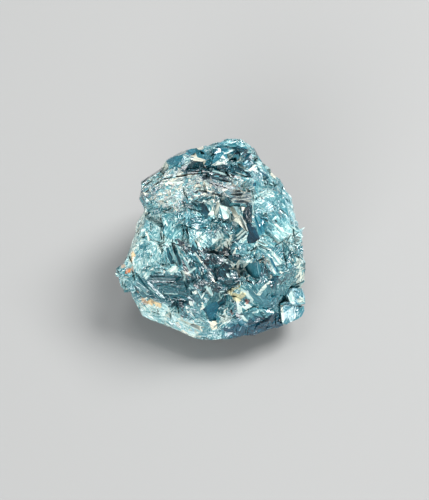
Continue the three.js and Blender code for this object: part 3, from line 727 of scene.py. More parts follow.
        (-0.35, -2.07), (-0.09, -1.94), (-0.04, -2.16), (0.09, -2.51), (-0.09, -2.47),
        (-0.22, -2.25)), 0.93, 0.1, 0.06),
    Facet("east_speck", ((-0.79, -2.25), (-0.66, -2.21), (-0.62, -2.38), (-0.75, -2.38)), 0.92, 0.3),
    Facet("east_dark", (
        (-0.88, -2.51), (-0.62, -2.34), (-0.35, -2.47), (-0.53, -2.73), (-0.84, -2.73)), 0.26, -0.3, 0.0),
    lath("east_ring_1", (0.31, -2.29), (0.57, -2.25), 0.06, 0.88, 0.0),
    lath("east_ring_2", (0.31, -2.29), (0.35, -2.65), 0.06, 0.85, 0.0),
)


@dataclass(frozen=True)
class Chunk:
    """A convex lump of crystal that stands out of the stone, as the corners of its hull in u, v and w."""

    name: str
    corners: tuple[Triple, ...]

    def solid(self, axes: StoneAxes) -> bpy.types.Object:
        """Makes the lump.

        Args:
            axes: the stone's axes.

        Returns:
            The lump as an object of its own, in millimetres.
        """
        work = bmesh.new()
        for corner in self.corners:
            work.verts.new(Vector(axes.row_places(np.array(corner))))
        hull = bmesh.ops.convex_hull(work, input=work.verts)
        bmesh.ops.delete(work, geom=hull["geom_interior"], context="VERTS")
        bmesh.ops.recalc_face_normals(work, faces=work.faces)
        return finished(work, self.name)


CHUNKS = (
    Chunk("corner_head", (
        (3.28, -2.44, 1.12), (3.5, -2.16, 1.0), (3.86, -2.2, 0.72), (4.07, -2.5, 0.46), (4.11, -2.84, 0.34),
        (3.8, -2.9, 0.58), (3.44, -2.84, 0.86), (4.0, -2.2, 0.2), (4.11, -2.5, -0.2), (4.11, -2.9, -0.25),
        (3.9, -2.1, -0.6), (3.8, -2.7, -0.9), (3.2, -2.2, -0.5), (3.1, -2.8, -0.7))),
    Chunk("corner_foot", (
        (3.0, -2.84, 0.86), (3.2, -2.74, 0.84), (3.72, -2.84, 0.56), (4.05, -2.9, 0.2), (4.09, -3.16, 0.06),
        (3.97, -3.42, 0.04), (3.62, -3.64, 0.24), (3.26, -3.77, 0.46), (3.08, -3.72, 0.66),
        (3.06, -3.3, 0.84), (3.9, -3.0, -0.6), (3.8, -3.4, -0.45), (3.5, -3.5, -0.45), (3.1, -3.6, -0.2),
        (2.8, -3.2, -0.4), (2.8, -2.8, -0.6))),
    Chunk("corner_sill", (
        (3.1, -3.6, 0.5), (3.3, -3.72, 0.3), (2.95, -3.92, 0.2), (2.6, -3.96, 0.4), (2.7, -3.7, 0.6),
        (3.1, -3.6, -0.1), (2.9, -3.85, 0.0), (2.5, -3.7, 0.1))),
)


class Boolean(Enum):
    """What becomes of solids that meet the stone."""

    ADDED = "UNION"
    TAKEN_AWAY = "DIFFERENCE"


def combine(stone: bpy.types.Object, solids: Sequence[bpy.types.Object], boolean: Boolean) -> None:
    """Adds solids to the stone, or takes them away from it, and keeps the result as its mesh.

    Args:
        stone: the closed object that is changed.
        solids: closed objects, which are used up.
        boolean: whether they are added or taken away.
    """
    rack = bpy.data.collections.new("rack")
    bpy.context.scene.collection.children.link(rack)
    for solid in solids:
        rack.objects.link(solid)
    modifier = stone.modifiers.new("combine", "BOOLEAN")
    modifier.operation = boolean.value
    modifier.solver = "MANIFOLD"
    modifier.operand_type = "COLLECTION"
    modifier.collection = rack
    graph = bpy.context.evaluated_depsgraph_get()
    changed = bpy.data.meshes.new_from_object(stone.evaluated_get(graph))
    stone.modifiers.clear()
    before, stone.data = stone.data, changed
    meshes = [solid.data for solid in solids]
    bpy.data.batch_remove([*solids, *meshes, before, rack])


@dataclass
class StoneMap:
    """Which patch each place on the stone wears.

    Later patches lie on top, and the flank is what the rest wears. Ovals end where w falls to
    front_edge, which scatters by front_scatter, and facets where it falls to facet_edge.
    """

    axes: StoneAxes
    patches: Sequence[Patch | Facet]
    flank: Patch
    front_edge: float = -0.6
    front_scatter: float = 0.3
    facet_edge: float = -1.2

    def at(self, places: np.ndarray, draw: np.random.Generator, ragged: float = 1.0) -> np.ndarray:
        """Finds the patch at each place.

        Args:
            places: places in the row frame, in millimetres.
            draw: the random draws that fray the patches' edges.
            ragged: the share of their fray by which the edges of patches wander.

        Returns:
            The number of each place's patch, with 0 for the flank.
        """
        u, v, w = self.axes.places(places).T
        found = np.zeros(len(places), int)
        front = w > self.front_edge + self.front_scatter * draw.standard_normal(len(places))
        for number, patch in enumerate(self.patches, 1):
            shown = front if isinstance(patch, Patch) else w > self.facet_edge
            fray = patch.fray * ragged * draw.standard_normal((2, len(places)))
            found[(patch.nearness(u + fray[0], v + fray[1]) < 1) & shown] = number
        return found

    def values(self, found: np.ndarray, read: Callable[[Any], Any]) -> np.ndarray:
        """What read gives for the patch of each place."""
        return np.array([read(patch) for patch in (self.flank, *self.patches)], float)[found]


@dataclass
class LathCarver:
    """Carves thousands of fine laths into a closed mesh, each a shallow face and a steep riser.

    slopes and risers are the faces' least and greatest slopes in degrees. clearance is how far a
    wedge stands out of the skin and clear_height how far a prism does. Nothing is carved below
    rest_clearance. Patches with fewer laths than whole are panes that the others' laths stay off,
    and a prism sinks by deepest at most under the skin's mean plane. bend and stray turn the
    laths, over the stone and one by one, as shares of their scatter. pitch and roll rock them.
    Where the skin stands more upright than upright, they follow spare_run. crowding is how much
    their sizes crowd to the least. A lath's ends slope in by lean times its depth, and by blunt
    of its half length at most. A prism's plane is fitted at rim_share and side_share of the way
    to the corners and sides, and sinks to the skin's height at rank sink_rank in 100.
    """

    stone_map: StoneMap
    draw: np.random.Generator
    share: float = 1.0
    slopes: Pair = (8.0, 25.0)
    risers: Pair = (55.0, 85.0)
    clearance: float = 0.06
    clear_height: float = 0.8
    rest_clearance: float = 0.12
    whole: float = 5.0
    deepest: float = 0.1
    bend: float = 1.4
    bend_scale: float = 0.7
    stray: float = 0.35
    pitch: float = 0.07
    roll: float = 0.12
    upright: float = 0.25
    spare_run: Triple = (0.31, 0.87, 0.38)
    crowding: float = 1.5
    lean: Pair = (1.0, 3.0)
    blunt: float = 0.7
    rim_share: float = 0.8
    side_share: float = 0.6
    sink_rank: float = 25

    def surface(self, mesh: bpy.types.Mesh) -> tuple[np.ndarray, np.ndarray, np.ndarray]:
        """Measures the mesh's triangles.

        Args:
            mesh: the mesh.

        Returns:
            Their corner places, unit normals and areas.
        """
        mesh.calc_loop_triangles()
        corners = rows(mesh.vertices, "co")[rows(mesh.loop_triangles, "vertices", kind=np.int32)]
        cross = np.cross(corners[:, 1] - corners[:, 0], corners[:, 2] - corners[:, 0])
        length = np.linalg.norm(cross, axis=1)
        return corners, cross / np.maximum(length, 1e-12)[:, None], length / 2

    def places(self, mesh: bpy.types.Mesh) -> tuple[np.ndarray, np.ndarray, np.ndarray]:
        """Draws where the laths lie, by the density of each patch.

        Args:
            mesh: the stone's mesh.

        Returns:
            Their places, the surface's normals there and the numbers of their patches.
        """
        corners, normals, areas = self.surface(mesh)
        patches = self.stone_map.at(corners.mean(axis=1), self.draw, 0.0)
        density = self.stone_map.values(patches, lambda patch: patch.laths.density)
        total = np.cumsum(areas * density)
        count = int(total[-1] * self.share)
        steps = (np.arange(count) + self.draw.random(count)) / count * total[-1]
        chosen = np.searchsorted(total, steps).clip(0, len(total) - 1)
        first, second = np.sqrt(self.draw.random(count)), self.draw.random(count)
        weights = np.stack((1 - first, first * (1 - second), first * second), axis=1)
        found = (corners[chosen] * weights[:, :, None]).sum(axis=1)
        clear = found[:, 2] > self.rest_clearance
        return found[clear], normals[chosen][clear], patches[chosen][clear]

    def spares_panes(
        self, places: np.ndarray, patches: np.ndarray, reaches: Sequence[np.ndarray]
    ) -> np.ndarray:
        """Finds the laths that stay off the smooth panes.

        Args:
            places: where the laths lie.
            patches: the numbers of their patches.
            reaches: half their lengths, and their widths, as vectors.

        Returns:
            Whether the ends and sides of each lath lie in its own patch or in open skin.
        """
        kept = np.ones(len(places), bool)
        for reach in reaches:
            for side in (-1, 1):
                met = self.stone_map.at(places + side * reach, self.draw, 0.0)
                open_skin = self.stone_map.values(
                    met, lambda patch: patch.laths.density > self.whole and not patch.laths.spared
                )
                kept &= (open_skin > 0) | (met == patches)
        return kept

    def runs(self, places: np.ndarray, normals: np.ndarray, patches: np.ndarray) -> np.ndarray:
        """Draws the way that each lath runs.

        Args:
            places: where the laths lie.
            normals: the surface's normals there.
            patches: the numbers of their patches.

        Returns:
            Unit directions in the surface's own plane.
        """
        run = self.stone_map.values(patches, lambda patch: patch.laths.run)
        scatter = self.stone_map.values(patches, lambda patch: patch.laths.scatter)
        bend = np.array([noise.noise(Vector(place) * self.bend_scale) for place in places])
        stray = self.stray * self.draw.standard_normal(len(run))
        angle = np.radians(run + scatter * (bend * self.bend + stray))
        flat = np.stack((np.cos(angle), np.sin(angle), np.zeros(len(angle))), axis=1)
        flat = self.stone_map.axes.row_directions(flat)
        flat = flat - normals * (flat * normals).sum(axis=1)[:, None]
        upright = np.linalg.norm(flat, axis=1) < self.upright
        flat[upright] = np.cross(normals, self.spare_run)[upright]
        return flat / np.linalg.norm(flat, axis=1)[:, None]

    def sizes(self, patches: np.ndarray) -> tuple[np.ndarray, np.ndarray]:
        """Draws each lath's length and width, mostly near the least.

        Args:
            patches: the numbers of the laths' patches.

        Returns:
            The lengths and the widths, in millimetres.
        """
        low, high = (
            self.stone_map.values(patches, lambda patch: (patch.laths.length[end], patch.laths.width[end])).T
            for end in (0, 1)
        )
        length, width = low + (high - low) * self.draw.random((2, len(patches))) ** self.crowding
        return length, width

    def wedge(self, place: Vector, turn: Matrix, length: float, width: float) -> bpy.types.Object:
        """Makes one lath's cutting wedge: a shallow face down to its deepest line, and a steep riser.

        Args:
            place: the lath's middle on the skin.
            turn: its own axes, along it, across it and out of the skin.
            length: its length, in millimetres.
            width: its width, in millimetres.

        Returns:
            The wedge.
        """
        slope = math.radians(self.draw.uniform(*self.slopes))
        riser = math.radians(self.draw.uniform(*self.risers))
        depth = width * math.tan(slope)
        near = (depth + self.clearance) / math.tan(riser)
        far = (depth + self.clearance) / math.tan(slope)
        half = length / 2
        lean = min(half * self.blunt, depth * self.draw.uniform(*self.lean))
        work = bmesh.new()
        for end in (-1, 1):
            low = (end * (half - lean), 0.0, -depth)
            high = end * (half + self.clearance)
            for corner in (low, (high, -near, self.clearance), (high, far, self.clearance)):
                work.verts.new(turn @ Vector(corner) + place)
        bmesh.ops.convex_hull(work, input=work.verts)
        bmesh.ops.recalc_face_normals(work, faces=work.faces)
        return finished(work, "wedge")

    def carve(self, stone: bpy.types.Object, facets: Sequence[Facet]) -> int:
        """Carves the whole skin and the named facets.

        Args:
            stone: the closed object that is carved.
            facets: the facets, of which those with a depth are cut.

        Returns:
            How many cuts that took.
        """
        places, normals, patches = self.places(stone.data)
        runs = self.runs(places, normals, patches)
        length, width = self.sizes(patches)
        ends, sides = runs * length[:, None] / 2, np.cross(normals, runs) * width[:, None]
        wedges = []
        for index in np.flatnonzero(self.spares_panes(places, patches, (ends, sides))):
            run, normal = Vector(runs[index]), Vector(normals[index])
            if self.draw.random() < 0.5:
                run = -run
            turn = Matrix((run, normal.cross(run), normal)).transposed()
            pitch = Quaternion((0.0, 1.0, 0.0), self.draw.normal(0.0, self.pitch)).to_matrix()
            roll = Quaternion((1.0, 0.0, 0.0), self.draw.normal(0.0, self.roll)).to_matrix()
            wedges.append(self.wedge(Vector(places[index]), turn @ pitch @ roll, length[index], width[index]))
        bpy.context.view_layer.update()
        prisms = [self.prism(stone, facet) for facet in facets if facet.depth]
        wedges += [prism for prism in prisms if prism]
        combine(stone, wedges, Boolean.TAKEN_AWAY)
        return len(wedges)

    def heights(self, stone: bpy.types.Object, places: np.ndarray) -> np.ndarray:
        """Probes how high the skin stands along w.

        Args:
            stone: the stone, in millimetres.
            places: the places to probe, in u and v.

        Returns:
            Each height, and nan where there is no skin.
        """
        axes = self.stone_map.axes
        found = [axes.under(stone, u, v) for u, v in places]
        return np.array([math.nan if place is None else axes.places(np.array(place))[2] for place in found])

    def prism(self, stone: bpy.types.Object, facet: Facet) -> bpy.types.Object | None:
        """Makes the cutting prism of one facet.

        Args:
            stone: the stone, whose skin the facet's plane is fitted to.
            facet: the facet.

        Returns:
            The prism, whose foot is the facet's own plane, or None beside the stone.
        """
        rim = np.array(facet.corners)
        middle = rim.mean(axis=0)
        sides = (rim + np.roll(rim, -1, axis=0)) / 2
        rims, sides = (rim - middle) * self.rim_share, (sides - middle) * self.side_share
        tests = np.vstack((middle + rims, middle + sides, middle))
        heights = self.heights(stone, tests)
        met = ~np.isnan(heights)
        if met.sum() < 3:
            return None
        square = np.column_stack((tests - middle, np.ones(len(tests))))
        plane = np.linalg.lstsq(square[met], heights[met], rcond=None)[0]
        left = heights[met] - square[met] @ plane
        sink = max(np.percentile(left, self.sink_rank), -self.deepest)
        across = rim[2] - rim[1]
        across = np.array((-across[1], across[0])) / np.hypot(*across)
        plane[:2] += across * facet.tilt * self.draw.choice((-1.0, 1.0))
        plane[2] += sink - facet.depth
        lows = np.column_stack((rim - middle, np.ones(len(rim)))) @ plane
        axes = self.stone_map.axes
        work = bmesh.new()
        foot = [work.verts.new(Vector(place)) for place in axes.row_places(np.column_stack((rim, lows)))]
        raised = bmesh.ops.extrude_face_region(work, geom=[work.faces.new(foot)])["geom"]
        top = [part for part in raised if isinstance(part, bmesh.types.BMVert)]
        up = Vector(axes.row_directions(np.array((0.0, 0.0, self.clear_height))))
        bmesh.ops.translate(work, vec=up, verts=top)
        bmesh.ops.recalc_face_normals(work, faces=work.faces)
        return finished(work, "prism")


class Socket:
    """One output of a node, on which Python's operators add Math nodes."""

    def __init__(self, bench: "NodeBench", socket: bpy.types.NodeSocket) -> None:
        """Args: bench, where new nodes go; socket, the output that this stands for."""
        self.bench = bench
        self.socket = socket

    def __add__(self, other: "Socket | float") -> "Socket":
        """This value plus another."""
        return self.bench.math("ADD", self, other)

    def __radd__(self, other: float) -> "Socket":
        """A number plus this value."""
        return self.bench.math("ADD", other, self)

    def __sub__(self, other: "Socket | float") -> "Socket":
        """This value less another."""
        return self.bench.math("SUBTRACT", self, other)

    def __rsub__(self, other: float) -> "Socket":
        """A number less this value."""
        return self.bench.math("SUBTRACT", other, self)

    def __mul__(self, other: "Socket | float") -> "Socket":
        """This value times another."""
        return self.bench.math("MULTIPLY", self, other)

    def __rmul__(self, other: float) -> "Socket":
        """A number times this value."""
        return self.bench.math("MULTIPLY", other, self)

    def clipped(self) -> "Socket":
        """This value held between 0 and 1."""
        return self.bench.make("ShaderNodeClamp", {}, {"Value": self})["Result"]

    def over(self, bar: "Socket | float") -> "Socket":
        """1 where this value is above the bar, and 0 elsewhere."""
        return self.bench.math("GREATER_THAN", self, bar)

    def between(self, low: float, high: float) -> "Socket":
        """A smooth step from 0 at low to 1 at high."""
        sockets = {"Value": self, "From Min": low, "From Max": high}
        return self.bench.make("ShaderNodeMapRange", {"interpolation_type": "SMOOTHSTEP"}, sockets)["Result"]


class Outputs:
    """A made node, whose outputs are read by name."""

    def __init__(self, bench: "NodeBench", node: bpy.types.Node) -> None:
        """Args: bench, where the node stands; node, the node itself."""
        self.bench = bench
        self.node = node

    def __getitem__(self, name: str) -> Socket:
        """The output of that name, or the enabled one where several share it."""
        named = [s for s in self.node.outputs if s.name == name and s.enabled]
        return Socket(self.bench, named[0])


class NodeBench:
    """Builds one material's nodes."""

    def __init__(self, material: bpy.types.Material) -> None:
        """Args: material, whose nodes are cleared first."""
        material.use_nodes = True
        self.tree = material.node_tree
        self.tree.nodes.clear()

    def make(self, kind: str, settings: dict[str, Any], sockets: dict[str | int, Any]) -> Outputs:
        """Makes one node.

        Args:
            kind: the node's type.
            settings: the node's own settings; "stops" gives a ramp's places and colours.
            sockets: values or links for its inputs, by name or number.

        Returns:
            The node's outputs.
        """
        node = self.tree.nodes.new(kind)
        for name, value in settings.items():
            if name == "stops":
                self.set_stops(node.color_ramp, value)
            else:
                setattr(node, name, value)
        for name, value in sockets.items():
            key = name
            if isinstance(name, str):
                key = next(i for i, s in enumerate(node.inputs) if s.name == name and s.enabled)
            if isinstance(value, Socket):
                self.tree.links.new(value.socket, node.inputs[key])
            else:
                node.inputs[key].default_value = value
        return Outputs(self, node)

    def set_stops(self, ramp: bpy.types.ColorRamp, stops: Stops) -> None:
        """Gives a ramp its places and colours.

        Args:
            ramp: the ramp.
            stops: each stop's place and colour.
        """
        while len(ramp.elements) < len(stops):
            ramp.elements.new(1.0)
        for element, (place, colour) in zip(ramp.elements, stops):
            element.position = place
            element.color = colour

    def math(self, operation: str, *values: Socket | float) -> Socket:
        """One Math node."""
        return self.make("ShaderNodeMath", {"operation": operation}, dict(enumerate(values)))["Value"]

    def vector(self, operation: str, *values: Any) -> Outputs:
        """One Vector Math node."""
        return self.make("ShaderNodeVectorMath", {"operation": operation}, dict(enumerate(values)))

    def scaled(self, vector: Socket, share: Socket | float) -> Socket:
        """A vector times a number."""
        sockets = {0: vector, "Scale": share}
        return self.make("ShaderNodeVectorMath", {"operation": "SCALE"}, sockets)["Vector"]

    def noise(self, place: Socket, scale: float, detail: float) -> Socket:
        """A noise pattern of that scale and detail."""
        return self.make("ShaderNodeTexNoise", {}, {"Vector": place, "Scale": scale, "Detail": detail})["Fac"]

    def attribute(self, name: str) -> Outputs:
        """One of the mesh's own attributes."""
        return self.make("ShaderNodeAttribute", {"attribute_name": name}, {})

    def mix(self, share: Socket | float, first: Any, second: Any) -> Socket:
        """A colour between two, second where share is 1."""
        sockets = {"Factor": share, "A": first, "B": second}
        return self.make("ShaderNodeMix", {"data_type": "RGBA"}, sockets)["Result"]


@dataclass(frozen=True)
class Stain:
    """A spot of iron stain on the broad face: its middle in u and v, its reach, colour and strength.

    A stain may be a ring, whose hole is then given as a middle and a reach.
    """

    name: str
    middle: Pair
    reach: float
    colour: Colour
    strength: float = 0.8
    hole: Triple | None = None


STAINS = (
    Stain("amber_top", (-3.44, -0.66), 0.13, srgb(242, 200, 140)),
    Stain("amber_foot", (-3.5, -0.9), 0.13, srgb(240, 190, 120)),
    Stain("orange_left", (-3.62, -1.39), 0.14, srgb(226, 130, 60)),
    Stain("peach_left", (-3.42, -1.3), 0.13, srgb(236, 190, 150), 0.6),
    Stain("peach_rim", (-3.85, -1.2), 0.13, srgb(226, 186, 150), 0.6),
    Stain("ochre_west", (-2.95, -2.74), 0.18, srgb(186, 140, 84)),
    Stain("ochre_middle", (-2.68, -2.78), 0.18, srgb(222, 184, 120)),
    Stain("ochre_east", (-2.38, -2.87), 0.18, srgb(232, 204, 150)),
    Stain("brown_tick", (-3.25, -2.3), 0.09, srgb(160, 104, 70), 0.6),
    Stain("yellow_star", (1.05, -2.4), 0.36, srgb(255, 246, 190), 0.8, (1.1, -2.3, 0.16)),
    Stain("red_spot", (1.52, -2.66), 0.11, srgb(158, 74, 48), 0.75),
    Stain("rust_spot", (0.85, -3.17), 0.11, srgb(150, 80, 58), 0.7),
)

StainPlace = tuple[Vector, Vector | None, Stain]


@dataclass(frozen=True)
class DiamondFinish:
    """Pale teal diamond with a broken skin: fine tilted cells, lines along the laths, painted edge
    highlights.

    teal, blue and warm are the tones from dark to light. cell is the fine cells' size and edge
    the width of the edges' painted highlight, in millimetres. stretch and thread_stretch draw the
    cells and the lines out along the laths. tilt and ribs are how far cells and lines are raised,
    grain and thread how dense and how sharp the lines are, and threads how strong. bright_line and
    dark_line are the grain's levels where they lie, and dark_share how strong the dark ones are.
    speck is how white the white cells are. The edges are painted white, partly as the chipped
    edges' own frost and partly as a painted highlight where light catches them: where they bend
    by as much as edge_bend, and where the patchy pattern lies between broken. cell_gloss and
    stain_gloss roughen cells and stains. uneven is the least strength of a stain and what its
    cells add. rag is how ragged a spot is, and rim where it starts and ends, as shares of its
    reach. milk is where, in shade, the crystal starts to turn milky and where it would end.
    """

    teal: Stops = (
        (0.0, srgb(2, 12, 18)), (0.1, srgb(12, 54, 64)), (0.2, srgb(16, 82, 94)), (0.42, srgb(44, 132, 146)),
        (0.65, srgb(98, 178, 188)), (0.82, srgb(154, 208, 208)), (1.0, srgb(222, 236, 228)),
    )
    blue: Stops = (
        (0.0, srgb(2, 14, 26)), (0.1, srgb(6, 56, 76)), (0.25, srgb(0, 98, 126)), (0.45, srgb(34, 140, 164)),
        (0.65, srgb(96, 178, 200)), (0.82, srgb(160, 204, 220)), (1.0, srgb(214, 230, 238)),
    )
    warm: Stops = (
        (0.0, srgb(32, 42, 50)), (0.2, srgb(60, 74, 86)), (0.42, srgb(112, 126, 138)),
        (0.65, srgb(168, 176, 176)), (0.82, srgb(210, 208, 190)), (1.0, srgb(238, 234, 212)),
    )
    cell: float = 0.07
    stretch: float = 5.0
    thread_stretch: float = 9.0
    tilt: float = 0.55
    edge: float = 0.018
    grain: float = 12.0
    thread: float = 28.0
    threads: float = 0.5
    ribs: float = 0.04
    wander: float = 5.0
    bright_line: float = 0.5
    dark_line: float = 0.56
    dark_share: float = 0.8
    speck: float = 0.9
    broken: Pair = (0.42, 0.56)
    edge_bend: Pair = (0.02, 0.2)
    cell_gloss: float = 0.08
    stain_gloss: float = 0.3
    uneven: Pair = (0.75, 0.5)
    rag: float = 2.6
    rim: Pair = (0.6, 1.2)
    transmission: float = 0.5
    milk: Pair = (0.6, 1.05)
    whiteness: float = 0.7
    refraction: float = 2.42
    specular: float = 0.1
    absorption_colour: Colour = (0.12, 0.6, 0.68, 1.0)
    absorption_density: float = 250.0

    def dress(self, material: bpy.types.Material, stains: Sequence[StainPlace]) -> None:
        """Builds the nodes.

        Args:
            material: the material to fill.
            stains: each stain with its own and its hole's place on the skin, in millimetres.
        """
        bench = NodeBench(material)
        here = bench.scaled(bench.make("ShaderNodeTexCoord", {}, {})["Object"], 1 / MM)
        run = bench.attribute("lath_run")["Vector"]
        along = bench.vector("DOT_PRODUCT", here, run)["Value"]
        cells = bench.make("ShaderNodeTexVoronoi", {"distance": "MANHATTAN"}, {
            "Vector": self.squeezed(bench, here, run, along, self.stretch), "Scale": 1 / self.cell,
        })
        parts = bench.make("ShaderNodeSeparateColor", {}, {"Color": cells["Color"]})
        grain = bench.noise(self.squeezed(bench, here, run, along, self.thread_stretch), self.grain, 2.0)
        bright, dark = (
            (1 - bench.math("ABSOLUTE", grain - level) * self.thread).clipped()
            for level in (self.bright_line, self.dark_line)
        )
        lines = bright - dark * self.dark_share

        skin = {name: bench.attribute(name)["Fac"] for name in FacetDresser.SHARES}
        shade = skin["shade"] + (parts["Red"] - 0.5) * skin["mottle"] + lines * skin["lines"] * self.threads
        broken = bench.noise(here, self.wander, 2.0).between(*self.broken)
        white = parts["Green"].over(1 - skin["specks"]) * self.speck
        # Painted highlight: the edges are whitened where the patchy pattern lets them, partly the chips' own
        # frost and partly light caught on them.
        white = (white + self.edges(bench) * broken).clipped()
        shade = (shade + (1 - shade) * white * self.whiteness).clipped()

        teal, blue, warm = (
            bench.make("ShaderNodeValToRGB", {"stops": stops}, {"Fac": shade})["Color"]
            for stops in (self.teal, self.blue, self.warm)
        )
        colour = bench.mix(skin["warmth"].between(0.0, 1.0), teal, warm)
        colour = bench.mix((0 - skin["warmth"]).between(0.0, 1.0), colour, blue)
        colour, stained = self.stained(bench, here, colour, parts["Red"], stains)

        height = (0 - cells["Distance"]) * skin["relief"] * (self.tilt * self.cell)
        height = height + grain * skin["lines"] * self.ribs
        bump = bench.make("ShaderNodeBump", {}, {"Strength": 1.0, "Distance": MM, "Height": height})["Normal"]
        rough = skin["gloss"] + parts["Blue"] * self.cell_gloss + stained * self.stain_gloss
        clear, milky = (
            bench.make("ShaderNodeBsdfPrincipled", {}, {
                "Base Color": colour, "Roughness": rough, "IOR": self.refraction,
                "Transmission Weight": share, "Specular IOR Level": self.specular, "Normal": bump,
            })["BSDF"]
            for share in (self.transmission, 0.0)
        )
        milk = shade.between(*self.milk)
        shader = bench.make("ShaderNodeMixShader", {}, {0: milk, 1: clear, 2: milky})["Shader"]
        volume = bench.make("ShaderNodeVolumeAbsorption", {}, {
            "Color": self.absorption_colour, "Density": self.absorption_density,
        })["Volume"]
        bench.make("ShaderNodeOutputMaterial", {}, {"Surface": shader, "Volume": volume})

    def squeezed(self, bench: NodeBench, here: Socket, run: Socket, along: Socket, stretch: float) -> Socket:
        """Coordinates pressed together along the laths, so that a pattern on them is drawn out."""
        return bench.vector("SUBTRACT", here, bench.scaled(run, along * (1 - 1 / stretch)))["Vector"]

    def edges(self, bench: NodeBench) -> Socket:
        """Makes a mask of the facets' broken edges, where the painted edge highlight goes.

        Args:
            bench: where the nodes go.

        Returns:
            1 on the edges and 0 elsewhere.
        """
        rounded = bench.make("ShaderNodeBevel", {"samples": 4}, {"Radius": self.edge * MM})["Normal"]
        flat = bench.make("ShaderNodeNewGeometry", {}, {})["Normal"]
        return (1 - bench.vector("DOT_PRODUCT", rounded, flat)["Value"]).between(*self.edge_bend)

    def stained(
        self, bench: NodeBench, here: Socket, colour: Socket, uneven: Socket, stains: Sequence[StainPlace]
    ) -> tuple[Socket, Socket]:
        """Lays the stains over a colour.

        Args:
            bench: where the nodes go.
            here: the place on the stone, in millimetres.
            colour: the colour under the stains.
            uneven: a pattern from 0 to 1 that makes them uneven.
            stains: the stains and their places.

        Returns:
            The stained colour, and how stained it is.
        """
        rag = bench.noise(here, self.wander, 3.0)
        total: Socket | float = 0.0
        for place, hole, stain in stains:
            mask = self.spot(bench, here, rag, place, stain.reach) * stain.strength
            if hole:
                mask = mask * (1 - self.spot(bench, here, rag, hole, stain.hole[2]))
            mask = mask * (self.uneven[0] + self.uneven[1] * uneven)
            colour = bench.mix(mask.clipped(), colour, stain.colour)
            total = mask + total
        return colour, total

    def spot(self, bench: NodeBench, here: Socket, rag: Socket, place: Vector, reach: float) -> Socket:
        """A spot's ragged mask."""
        gap = bench.vector("DISTANCE", here, tuple(place))["Value"]
        return 1 - (gap + (rag - 0.5) * (self.rag * reach)).between(reach * self.rim[0], reach * self.rim[1])


@dataclass
class FacetDresser:
    """Writes each facet's own look on the mesh as attributes, for the finish to read.

    spread, glints and panes are shares of what the skins say. Named facets end where the skin
    turns away from the broad face, past turned_away. glint_shade is a glint's least shade and
    glint_shade_spread what may be added, pane_shade the most that a pane keeps of its shade,
    and quiet how much fine detail both keep.
    """

    SHARES = ("shade", "warmth", "mottle", "specks", "lines", "relief", "gloss")

    stone_map: StoneMap
    draw: np.random.Generator
    spread: float = 0.55
    glints: float = 0.5
    panes: float = 0.5
    drift_scale: float = 1.1
    turned_away: float = 0.08
    glint_shade: float = 0.9
    glint_shade_spread: float = 0.1
    glint_warmth: float = 0.4
    glint_gloss: float = 0.12
    gloss_spread: float = 0.03
    pane_shade: float = 0.5
    quiet: float = 0.3

    def dress(self, mesh: bpy.types.Mesh, runs: np.ndarray) -> None:
        """Draws every facet's look from its patch, and keeps it on the mesh.

        Args:
            mesh: the stone's mesh.
            runs: the way that each facet's fine lines run.
        """
        count = len(mesh.polygons)
        centres = rows(mesh.polygons, "center")
        patches = self.stone_map.at(centres, self.draw)
        facing = self.stone_map.axes.directions(rows(mesh.polygons, "normal"))[:, 2]
        named = self.stone_map.values(patches, lambda patch: isinstance(patch, Facet)) > 0
        patches = np.where((facing < self.turned_away) & named, 0, patches)
        skin = {
            name: self.stone_map.values(patches, lambda patch: getattr(patch.skin, name))
            for name in (*self.SHARES, "spread", "warmth_spread", "glints", "panes", "drift")
        }
        normal_draw, chance = self.draw.standard_normal((2, count)), self.draw.random(count)
        shade = skin["shade"] + skin["spread"] * self.spread * normal_draw[0]
        warmth = skin["warmth"] + skin["warmth_spread"] * normal_draw[1]
        glint, pane = chance < skin["glints"] * self.glints, chance > 1 - skin["panes"] * self.panes
        drift = np.array([noise.noise(Vector(centre) * self.drift_scale) for centre in centres])
        shade = shade + skin["drift"] * drift
        glint_shade = self.glint_shade + self.glint_shade_spread * self.draw.random(count)
        shade = np.where(glint, glint_shade, shade)
        shade = np.where(pane, self.pane_shade * shade * self.draw.random(count), shade)
        warmth = np.where(glint, warmth + self.glint_warmth * self.draw.random(count), warmth)
        gloss = np.where(glint, self.glint_gloss, skin["gloss"]) + self.gloss_spread * self.draw.random(count)
        looks = {
            "shade": shade,
            "warmth": warmth,
            "mottle": skin["mottle"] * np.where(glint | pane, self.quiet, 1.0),
            "specks": skin["specks"] * np.where(pane, self.quiet, 1.0),
            "lines": skin["lines"],
            "relief": skin["relief"] * np.where(pane, self.quiet, 1.0),
            "gloss": gloss,
        }
        for name in self.SHARES:
            layer = mesh.attributes.new(name, "FLOAT", "FACE")
            layer.data.foreach_set("value", looks[name].astype(np.float32))
        layer = mesh.attributes.new("lath_run", "FLOAT_VECTOR", "FACE")
        layer.data.foreach_set("vector", runs.astype(np.float32).ravel())


